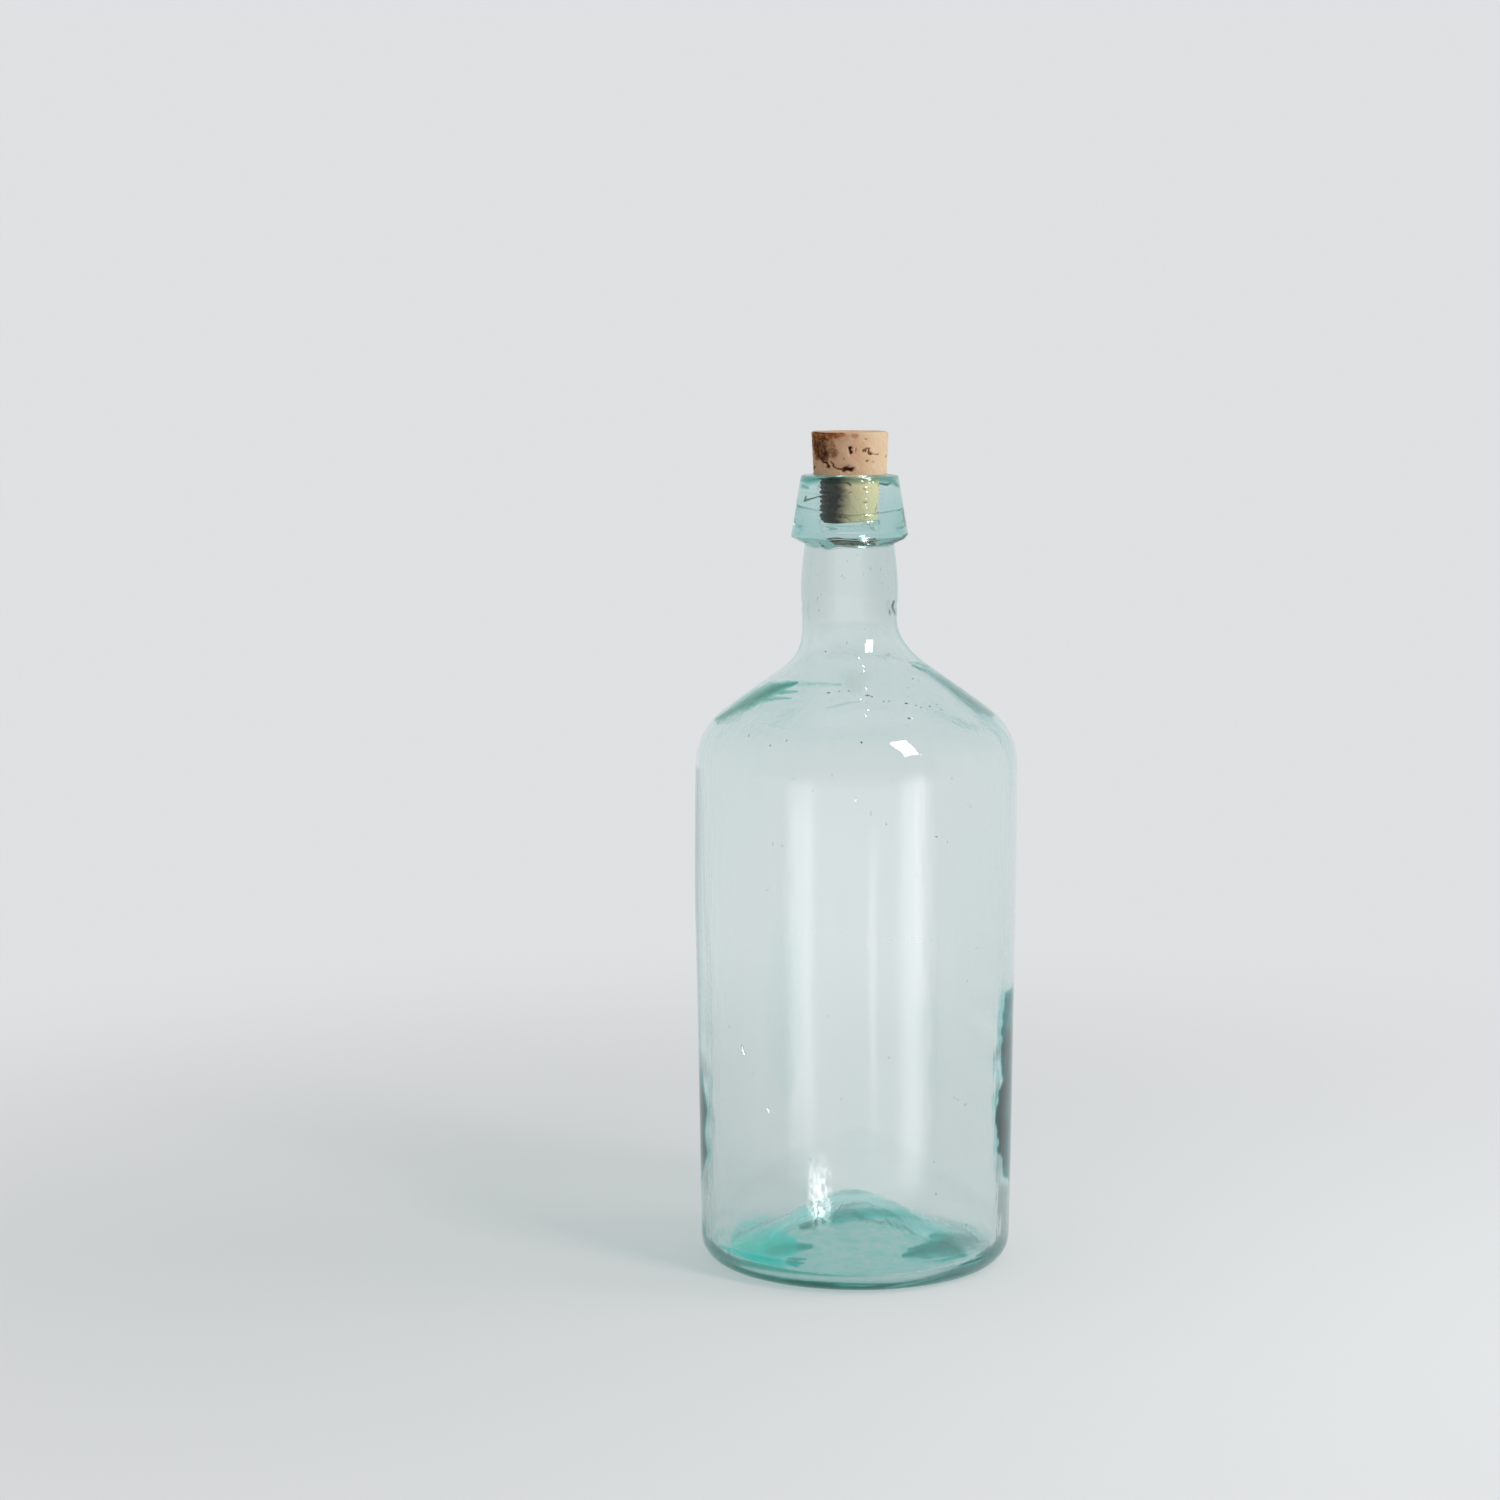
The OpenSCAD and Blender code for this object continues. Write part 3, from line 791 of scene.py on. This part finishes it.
def drops(spots, true_r, depth, gleam=False):
    """Joined balls sunk in the wall; with gleam, flat beads tilted so that they catch the key light."""
    ball_points, ball_quads, ball_tris = ball()
    points, quads, tris = [], [], []
    turn = -1 if gleam else 1
    flat = BEAD_FLAT if gleam else BUBBLE_FLAT
    for angle, z, size, tall in spots:
        out = np.array([cos(angle), sin(angle), 0])
        side = np.array([-sin(angle), cos(angle), 0])
        up = np.array([0, 0, 1])
        centre = out * (true_r(angle, z) - depth) + np.array([float(lean(np.array(z))), 0, z])
        if gleam:
            out = gleam_way(centre)
            side = np.cross(up, out) / np.linalg.norm(np.cross(up, out))
            up = np.cross(out, side)
        quads.append(ball_quads[:, ::turn] + len(points) * len(ball_points))
        tris.append(ball_tris[:, ::turn] + len(points) * len(ball_points))
        axes = size * np.array([out * flat, side, up * tall])
        points.append((centre + ball_points @ axes) * MM)
    return np.concatenate(points), np.concatenate(quads), np.concatenate(tris)


# Mirrorings after which a ray is trapped, how many of them the collar counts for, and a ray's longest path
TRAPPED_AFTER, COLLAR_COUNTS, WORN_OUT_AFTER = 2.5, 2.0, 8.5
LAMP_SHADE, LOST_LIGHT = (0.92, 0.935, 0.932, 1), (0.86, 0.93, 0.925, 1)
GLASS_IOR, GLASS_COLOUR, GLASS_DENSITY = 1.52, (0.25, 0.69, 0.665, 1), 40.0
# Strength of a streak that is seen face on
FACE_ON_SHARE = 0.25


def streak_strength(n):
    """Strength of the painted streaks, torn into fingers where they are ragged."""
    fingers = n.noise(n.place((1, 1, 3.5)), 260, 4, 0.6, 0.5)
    teal, ragged, edgewise = (n.attribute(key) for key in ("teal", "ragged", "edgewise"))
    torn = n.plus(teal, n.times(n.minus(fingers, 0.5), n.times(ragged, 1.6)))
    laid = n.most(n.times(torn, n.ramp(teal, 0.02, 0.3)), 0.0)
    facing = n.add("LayerWeight", Blend=0.5).outputs["Facing"]
    face_on = n.minus(1.0, n.ramp(facing, 0.25, 0.52, FACE_ON_SHARE, 1.0))
    return n.times(laid, n.minus(1.0, n.times(face_on, edgewise)))


def glass_material():
    material = bpy.data.materials.new("aqua_glass")
    n = Nodes(material)
    where = n.place()
    drawn = n.place((1, 1, 0.12))
    cords = n.noise(drawn, 150, 3, 0.5, 0.4)
    skin = n.noise(where, 420, 2, 0.5)
    striae = n.noise(drawn, 55, 4, 0.6, 0.8)
    scratch = n.noise(n.place((1, 0.35, 1.6)), 900, 2, 0.6, 1.5)

    pale = n.mix(n.ramp(striae, 0.35, 0.7), srgb(253, 254, 254), srgb(250, 252, 252))
    deep = n.add("Gamma", Color=n.attribute("tone", "Color"), Gamma=streak_strength(n))
    relief = n.plus(n.times(cords, 0.7), n.times(skin, 0.12))
    haze = n.times(n.attribute("wear"), n.ramp(scratch, 0.45, 0.7, 0.15, 1.0))
    shader = n.add("BsdfPrincipled", Base_Color=n.mix(1.0, pale, deep, "MULTIPLY"),
                   Roughness=n.plus(n.times(haze, 0.3), 0.008), IOR=GLASS_IOR, Transmission_Weight=1.0,
                   Normal=n.add("Bump", Strength=0.35, Distance=0.0004, Height=relief))

    path = n.add("LightPath").outputs
    lamps = n.most(path["Is Shadow Ray"], path["Is Diffuse Ray"])
    in_collar = n.ramp(n.part(where, "Z"), COLLAR_Z * MM - 0.001, COLLAR_Z * MM)
    held = n.plus(path["Glossy Depth"], n.times(in_collar, COLLAR_COUNTS))
    lost = n.most(n.math("GREATER_THAN", held, TRAPPED_AFTER),
                  n.math("GREATER_THAN", path["Ray Depth"], WORN_OUT_AFTER))
    soft = n.add("BsdfTransparent", n.mix(lost, LAMP_SHADE, LOST_LIGHT))
    surface = n.add("MixShader", n.most(lamps, lost), shader, soft)
    inside = n.add("VolumeAbsorption", Color=GLASS_COLOUR, Density=GLASS_DENSITY)
    n.add("OutputMaterial", Surface=surface, Volume=inside)
    return material


def build_glass(material):
    theta = angles(GLASS_SEGMENTS)
    zone, r, z = GLASS_ZONE[:, None], GLASS_PATH[:, 0:1], GLASS_PATH[:, 1:2]
    push = glass_push(theta, r, z)
    parts = [turned_mesh(GLASS_PATH, push, lean, glass_drop(theta, z))]
    teal, ragged, tone, edgewise = glass_tint(theta, r, z)
    wear = (zone == HEEL) * (1 - smooth(z, 0.3, 4)) + 0.6 * (zone == UNDER) + np.zeros(push.shape)
    fields = {"teal": teal, "ragged": ragged, "tone": tone, "wear": wear, "edgewise": edgewise}
    attributes = {key: [spread(values)] for key, values in fields.items()}

    rng = np.random.RandomState(5)
    true_r = surface_of(push)
    for spots, depth, dark, gleam in (
            (scatter(rng, WALL_BUBBLES), BUBBLE_DEPTH, 0.0, False),
            (scatter(rng, COLLAR_BUBBLES), COLLAR_BUBBLE_DEPTH, 0.0, False),
            (at_pixels(DARK_SPECKS, SPECK_SCALE), SPECK_DEPTH, SPECK_DARK, False),
            (at_pixels(BRIGHT_SEEDS + COLLAR_GLINTS, BEAD_SCALE), BEAD_DEPTH, 0.0, True)):
        parts.append(drops(spots, true_r, depth, gleam))
        for key, values in attributes.items():
            plain = {"teal": dark, "tone": FLECK}.get(key, 0.0)
            values.append(np.zeros((len(parts[-1][0]), *values[0].shape[1:])) + plain)
    starts = np.cumsum([0] + [len(points) for points, _, _ in parts])
    points = np.concatenate([part[0] for part in parts])
    quads = np.concatenate([part[1] + start for part, start in zip(parts, starts)])
    tris = np.concatenate([part[2] + start for part, start in zip(parts, starts)])
    return make_object("glass_bottle", points, quads, tris, material,
                       {key: np.concatenate(values) for key, values in attributes.items()})


# Cork
CORK_SEGMENTS, CORK_ROWS = 300, 120
CORK_FOOT, CORK_SIDE, CORK_TOP = range(3)
# Radius at which the cork's side is unrolled, and the half-width of what the photo shows of it
CORK_MID_R, CORK_SEEN = 10.6, 13
SIDE_PORES, END_PORES, END_PORES_R = 130, 46, 8.6
END_GRAIN = 0.35
# How far the cork's left side below the lip swells, in millimetres
CORK_SWELL = 0.32


def cork_r(z):
    cone = CORK_LIP_R + (z - LIP_Z) * (CORK_TOP_R - CORK_LIP_R) / CORK_PROUD
    return np.where(z > LIP_Z, cone, np.minimum(cone, bore_r(z) - CORK_GAP))


def cork_path():
    c = CORK_CHAMFER
    low_r = cork_r(CORK_Z) - c
    heights = np.linspace(CORK_Z + c, CORK_TOP_Z - c, CORK_ROWS)
    side = np.column_stack([cork_r(heights), heights])
    return join_path([
        ([[0, CORK_Z], [low_r, CORK_Z]], 0.3, CORK_FOOT),
        ([[low_r, CORK_Z], side[0]], 0.12, CORK_SIDE),
        (side, 0.2, CORK_SIDE),
        ([side[-1], [CORK_TOP_R - c, CORK_TOP_Z]], 0.12, CORK_SIDE),
        ([[CORK_TOP_R - c, CORK_TOP_Z], [0, CORK_TOP_Z]], 0.3, CORK_TOP),
    ])


# Marks on the cork's front: photo pixels, half-width in pixels, depth in millimetres, blackness, brownness
CORK_FRONT_MARKS = [
    ([(815, 436), (824, 437), (834, 436), (842, 433)], 4, 0.12, 0, 1),
    ([(814.5, 432), (825, 433), (838, 432)], 1.5, 0.25, 0.55, 1),
    ([(819, 439), (828, 439.5)], 1.2, 0.3, 0.6, 1),
    ([(815, 438), (816, 448), (818, 457)], 3.4, 0.15, 0.45, 1),
    ([(816.5, 443), (817, 449), (818.5, 456)], 1.7, 0.55, 0.95, 1),
    ([(821, 443), (823, 450), (825, 457)], 4.6, 0.12, 0.5, 1),
    ([(827, 440), (831, 446), (833, 454)], 5, 0.05, 0, 0.75),
    ([(820, 458), (824, 462), (828.5, 466.5)], 1.4, 0.55, 0.9, 1),
    ([(831, 461.5), (833, 465), (835, 468)], 1, 0.35, 0.8, 0.9),
    ([(843.5, 469.5), (847.5, 468.5), (851.5, 469.5)], 2.2, 1.1, 1, 0.7),
    ([(837, 468.5), (843, 470)], 0.9, 0.4, 0.85, 0.7),
    ([(849.8, 448.2), (850.4, 452.8)], 1.7, 1.1, 1, 0.8),
    ([(855.5, 448.5), (856, 453)], 0.5, 0.15, 0.5, 0.5),
    ([(862.5, 452.5), (864, 449.5), (866, 451.5)], 0.8, 0.3, 0.85, 0.5),
    ([(866, 448.6), (868.5, 449.5), (869.5, 453.5), (872, 453.8)], 0.9, 0.35, 0.9, 0.5),
    ([(872, 453.8), (878, 454.8)], 0.6, 0.15, 0.7, 0.4),
    ([(866, 461.5), (867.5, 461.5)], 0.7, 0.2, 0.6, 0.4),
    ([(873, 461.5), (874, 462.5)], 0.6, 0.2, 0.5, 0.3),
    ([(866, 438.8), (867, 438.8)], 0.7, 0.2, 0.6, 0.5),
    ([(853, 435.5), (857, 435.5)], 2.4, 0, 0, 0.5),
    ([(838, 452), (839, 452.5)], 0.6, 0.15, 0.5, 0.4),
    ([(843, 459), (843.6, 459.4)], 0.6, 0.15, 0.5, 0.4),
]


def cork_marks(theta, r, z, zone):
    """Depth in millimetres, blackness and brownness, each 0-1, of the cork's pits and cracks."""
    depth = np.zeros(np.broadcast(theta, z).shape)
    dark, brown = np.zeros_like(depth), np.zeros_like(depth)
    side = (zone == CORK_SIDE) * 1.0

    def cut(mark, deep, black, full):
        nonlocal depth, dark
        depth = np.maximum(depth, deep * mark)
        dark = np.maximum(dark, black * smooth(mark, 0.2, full))

    wander = 0.4 * waves(90, theta, z, 10, (8, 30), (0.8, 4))
    px, py = photo_pixel(r * np.cos(theta) + NECK_SHIFT, r * np.sin(theta), z)
    facing = side * (np.sin(theta) < 0.1)
    for pixels, width, deep, black, rust in CORK_FRONT_MARKS:
        mark = facing * line_mark(px + wander, py - wander, pixels, width)
        cut(mark, deep, black, 0.75)
        brown = np.maximum(brown, rust * smooth(mark, 0.15, 0.75))

    # Rows of pores round the rest of the side, and on both ends
    rng = np.random.RandomState(17)
    for _ in range(SIDE_PORES):
        u, h = rng.uniform(-33, 33), rng.uniform(CORK_Z + 0.6, CORK_TOP_Z - 0.6)
        if abs(u) < CORK_SEEN and h > LIP_Z:
            continue
        size, long, slope = rng.uniform(0.1, 0.34), rng.uniform(0.3, 2.2), rng.normal(0, 0.25)
        du = wrapped(wrapped(theta + pi / 2) - u / CORK_MID_R) * CORK_MID_R
        mark = side * line_mark(du, z, [(-long / 2, h - slope * long), (long / 2, h + slope * long)], size)
        deep = rng.uniform(0.15, 0.6)
        cut(mark, deep, min(1, deep * 1.9), 0.8)
        brown = np.maximum(brown, 0.6 * smooth(mark, 0.02, 0.5))
    x, y = r * np.cos(theta), r * np.sin(theta)
    for end in (CORK_FOOT, CORK_TOP):
        for _ in range(END_PORES):
            a, away = rng.uniform(0, 2 * pi), sqrt(rng.uniform(0, 1)) * END_PORES_R
            u, v = away * cos(a), away * sin(a)
            long, size, deep = rng.uniform(0.3, 3.0), rng.uniform(0.1, 0.28), rng.uniform(0.15, 0.5)
            turn = END_GRAIN + rng.normal(0, 0.2)
            du, dv = long / 2 * cos(turn), long / 2 * sin(turn)
            mark = (zone == end) * line_mark(x, y, [(u - du, v - dv), (u + du, v + dv)], size)
            cut(mark, deep, min(1, deep * 1.9), 0.8)
    return depth, dark, brown


def cork_material():
    material = bpy.data.materials.new("natural_cork")
    n = Nodes(material)
    where = n.place()
    cells = n.noise(where, 2600, 3, 0.6)
    mottle = n.noise(where, 260, 5, 0.62, 0.3)
    broad = n.noise(where, 85, 3, 0.5)
    grain = n.noise(n.place((1, 1, 0.25)), 700, 3, 0.55, 0.6)
    crumbs = n.noise(where, 900, 3, 0.6, 0.4)
    streaky = n.noise(n.place((0.35, 0.35, 1)), 520, 3, 0.55, 0.8)
    rust = n.mix(n.ramp(grain, 0.35, 0.65), srgb(84, 40, 5), srgb(176, 98, 30))
    shade_colour = n.mix(n.ramp(grain, 0.35, 0.65), srgb(10, 6, 0), srgb(60, 43, 10))
    shade_share = n.plus(n.attribute("cork_shade"), n.times(n.minus(streaky, 0.5), 0.9))
    pit = n.mix(n.ramp(grain, 0.4, 0.6), srgb(42, 18, 5), srgb(92, 48, 16))

    colour = n.mix(n.ramp(mottle, 0.32, 0.68), srgb(198, 154, 120), srgb(220, 186, 152))
    # Among these layers, painted light brightens the cork's right side, top and right part in the bore, and
    # painted shade darkens its left part in the bore and its foot
    for share, coat in (
            (n.ramp(broad, 0.4, 0.7, 0, 0.6), srgb(214, 168, 138)),
            (n.times(n.attribute("painted_light"), n.ramp(mottle, 0.25, 0.6, 0.7, 1.0)), srgb(216, 190, 158)),
            (n.ramp(grain, 0.55, 0.75, 0, 0.4), srgb(176, 126, 90)),
            (n.times(n.ramp(cells, 0.6, 0.72), 0.3), srgb(146, 98, 66)),
            (n.times(n.attribute("stain"), n.ramp(crumbs, 0.36, 0.52, 0.5, 1.0)), rust),
            (n.attribute("painted_bore_light"), srgb(255, 228, 180)),
            (n.ramp(shade_share, 0.33, 0.86), shade_colour),
            (n.times(n.attribute("pit"), n.ramp(cells, 0.2, 0.5, 0.8, 1.0)), pit)):
        colour = n.mix(share, colour, coat)
    relief = n.plus(n.times(cells, 0.5), mottle)
    shader = n.add("BsdfPrincipled", Base_Color=colour, Specular_IOR_Level=0.2,
                   Roughness=n.ramp(mottle, 0.3, 0.7, 0.72, 0.9),
                   Normal=n.add("Bump", Strength=0.5, Distance=0.0003, Height=relief))
    n.add("OutputMaterial", Surface=shader)
    return material


def build_cork(material):
    path, zones = cork_path()
    theta = angles(CORK_SEGMENTS)
    r, z, zone = path[:, 0:1], path[:, 1:2], zones[:, None]
    depth, dark, brown = cork_marks(theta, r, z, zone)
    side = (zone == CORK_SIDE) * 1.0
    right = np.degrees(wrapped(theta + pi / 2))
    below = 1 - smooth(z, LIP_Z - 1.5, LIP_Z + 0.3)
    leftward = 1 - smooth(np.degrees(wrapped(theta + pi / 2 + 0.5)), -30, 75)
    # Painted shade on the left of the cork's part in the bore, on its foot and round its lower end on the
    # left
    olive = 1 - smooth(right, -34, 16)
    shade_share = side * below * olive
    swollen = shade_share * smooth(right, -60, -48)

    push = -side * (0.05 + 0.03 * np.clip(waves(81, theta, z, 14, (2, 9), (4, 30)), -1.5, 1.5))
    push = push - side * 0.02 * np.clip(waves(82, theta, z, 30, (14, 60), (0.8, 4)), -1.5, 1.5)
    push = push + (zone != CORK_SIDE) * 0.04 * waves(83, theta, r, 12, (1, 8), (2, 8)) * smooth(r, 0.5, 3)
    push = push + CORK_SWELL * swollen - depth * smooth(r, 0.2, 1)

    cork_shade = shade_share + (zone == CORK_FOOT) * 0.6
    cork_shade = np.maximum(cork_shade, side * 0.8 * np.exp(-((z - CORK_Z - 0.4) / 0.7) ** 2) * leftward)
    # Painted light on the right of the cork's part in the bore
    painted_bore_light = side * below * (1 - olive) * (0.75 + 0.25 * smooth(right, 5.73, 40.1))
    # Painted light on the cork's right side, on its top and on the right of its top edge
    painted_light = side * smooth(right, 5, 55) + 0.4 * (zone == CORK_TOP)
    painted_light = painted_light + side * 0.5 * smooth(z, CORK_TOP_Z - 2.5, CORK_TOP_Z) * smooth(right, -5.73, 17.19)
    fields = {"pit": dark, "stain": brown, "cork_shade": cork_shade, "painted_light": np.clip(painted_light, 0, 1), "painted_bore_light": painted_bore_light}
    return make_object("cork_stopper", *turned_mesh(path, push, lambda at: NECK_SHIFT + 0 * at), material,
                       {key: spread(values + 0 * theta) for key, values in fields.items()})


# Stage, lights, camera
BACKDROP = (0.735, 0.75, 0.758, 1)
FLOOR = (0.84, 0.86, 0.855, 1)
SKY_LIGHT = (0.42, 0.43, 0.44, 1)
FRONT_SHARE = 0.4
# Rings and segments of the floor, and how far it lies under the base, in metres
FLOOR_RINGS, FLOOR_SEGMENTS, FLOOR_DROP = [0.05, 0.2, 0.6, 1.5, 4.0], 48, 0.0001
# Distances between which the floor's paint turns into the backdrop's plain colour
FLOOR_NEAR, FLOOR_FAR = 0.07, 0.55


def dim_in_front(n, path, ahead, near, far):
    """Factor that dims, in plain reflections only, what stands on the photographer's side."""
    dark = n.ramp(ahead, near, far, 1.0, FRONT_SHARE)
    mirrored = n.math("SUBTRACT", path["Is Glossy Ray"], path["Is Transmission Ray"], clamp=True)
    return n.plus(n.times(n.minus(dark, 1.0), mirrored), 1.0)


def floor_material():
    material = bpy.data.materials.new("pale_floor")
    n = Nodes(material)
    where = n.add("TexCoord").outputs["Object"]
    away = n.add("VectorMath", where, settings={"operation": "LENGTH"}).outputs["Value"]
    far = n.ramp(away, FLOOR_NEAR, FLOOR_FAR, 0.1, 1.0, "SMOOTHSTEP")
    paint = n.add("BsdfPrincipled", Base_Color=FLOOR, Roughness=0.55, Specular_IOR_Level=0.0)
    path, seen = n.rays()
    dim = dim_in_front(n, path, n.part(where, "Y"), -1.4, -2.2)
    glow = n.add("Emission", Color=BACKDROP, Strength=dim)
    n.add("OutputMaterial", Surface=n.add("MixShader", n.times(far, seen), paint, glow))
    return material


def build_floor():
    turn = angles(FLOOR_SEGMENTS)
    r = np.array(FLOOR_RINGS)[:, None]
    rings = np.stack([r * np.cos(turn), r * np.sin(turn), 0 * r * turn], axis=-1)
    points = np.concatenate([[[0, 0, 0]], rings.reshape(-1, 3)]) - [0, 0, FLOOR_DROP]
    quads, tris = turned_faces(len(FLOOR_RINGS), FLOOR_SEGMENTS)
    floor = make_object("floor", points, quads[:, ::-1], tris[:FLOOR_SEGMENTS, ::-1], floor_material())


def build_world():
    world = bpy.data.worlds.new("studio")
    bpy.context.scene.world = world
    n = Nodes(world)
    path, seen = n.rays()
    ahead = n.part(n.add("TexCoord").outputs["Generated"], "Y")
    light = n.add("Background", Color=n.mix(seen, SKY_LIGHT, BACKDROP),
                  Strength=dim_in_front(n, path, ahead, -0.1, -0.6))
    n.add("OutputWorld", Surface=light)


def lamp_face(n, soft, uneven):
    """Strength over a lamp's face; soft is how much of it fades at its sides, its foot and its top."""
    face = n.add("NewGeometry").outputs["Parametric"]
    across, up = n.part(face, "X"), n.part(face, "Y")
    share = 1.0
    for value, fade in ((across, soft[0]), (n.minus(1.0, across), soft[0]), (up, soft[1]),
                        (n.minus(1.0, up), soft[2])):
        share = n.times(share, n.ramp(value, 0.0, max(fade, 0.001), how="SMOOTHSTEP"))
    blotches = n.noise(face, 11.0, 4, 0.7, 0.6)
    return n.times(share, n.ramp(blotches, 0.45, 0.55, 1.0 - uneven, 1.0))


def softbox(name, azimuth, elevation, distance, size, radiance, colour=(1, 1, 1), aim_z=AIM_Z * MM,
            seen="both", soft=(0.0, 0.0, 0.0), uneven=0.0):
    """Area lamp aimed at the bottle, seen in "reflections", as "light" on matt surfaces, or "both"."""
    lamp = bpy.data.lights.new(name, "AREA")
    lamp.shape = "RECTANGLE"
    lamp.size, lamp.size_y = size
    lamp.energy = radiance * pi * size[0] * size[1]
    lamp.color = colour
    n = Nodes(lamp)
    path = n.add("LightPath").outputs
    strength = n.math("LESS_THAN", path["Glossy Depth"], 1.5)
    if any(soft):
        strength = n.times(strength, lamp_face(n, soft, uneven))
    n.add("OutputLight", Surface=n.add("Emission", Strength=strength))
    holder = put_in_scene(name, lamp)
    holder.location = np.array([0, 0, aim_z]) + toward(azimuth, elevation) * distance
    holder.rotation_euler = (radians(90 - elevation), 0, radians(azimuth))
    holder.visible_camera = False
    holder.visible_transmission = False
    holder.visible_diffuse = seen != "reflections"
    holder.visible_glossy = seen != "light"


# Upright strips close to the bottle, seen only in reflections: degrees from the front, width, lowest point,
# highest point, radiance, colour, soft share of its sides, foot and top, unevenness
STRIP_DISTANCE = 0.10
STRIP_STEP = 0.002
ROSE, CREAM, WHITE = (1.0, 0.93, 0.96), (1.0, 1.0, 0.95), (1.0, 1.0, 1.0)
STRIPS = [
    (3, 0.150, 0.002, 0.170, 1.3, WHITE, (0.12, 0.1, 0.3), 0.0),
    (-32, 0.042, 0.002, 0.158, 3.3, WHITE, (0.45, 0.35, 0.2), 0.0),
    (7.6, 0.016, 0.012, 0.136, 1.8, ROSE, (0.5, 0.4, 0.25), 0.0),
    (32.2, 0.052, 0.002, 0.166, 2.7, CREAM, (0.4, 0.2, 0.2), 0.0),
    (33.5, 0.016, 0.060, 0.164, 1.0, CREAM, (0.5, 0.4, 0.2), 0.0),
    (-22.5, 0.034, 0.001, 0.027, 19.0, WHITE, (0.5, 0.3, 0.6), 0.9),
]


def build_lights():
    softbox("key", KEY_AZIMUTH, KEY_ELEVATION, KEY_DISTANCE * MM, (0.19, 0.42), 14.0, (1.0, 0.99, 0.97))
    softbox("side", 88, 22, 0.95, (0.45, 0.6), 4.0, seen="light")
    for i, (azimuth, width, low, high, radiance, colour, soft, uneven) in enumerate(STRIPS):
        softbox(f"strip_{i}", azimuth, 0, STRIP_DISTANCE + i * STRIP_STEP, (width, high - low), radiance,
                colour, aim_z=(low + high) / 2, seen="reflections", soft=soft, uneven=uneven)


def build_camera():
    lens = bpy.data.cameras.new("photo_camera")
    lens.sensor_width = SENSOR_MM
    lens.lens = FOCAL_PX * SENSOR_MM / IMAGE_PX
    lens.clip_start, lens.clip_end = 0.05, 20
    holder = put_in_scene("photo_camera", lens)
    holder.location = CAMERA_MM * MM
    holder.rotation_euler = (pi / 2 - PITCH, 0, 0)
    bpy.context.scene.camera = holder


build_camera()
build_world()
build_lights()
build_floor()

glass = build_glass(glass_material())
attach(glass, "glass")
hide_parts("bottle", "lip_collar")

cork = build_cork(cork_material())
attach(cork, "stopper")
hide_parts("cork")

bpy.context.scene.view_settings.view_transform = "Standard"
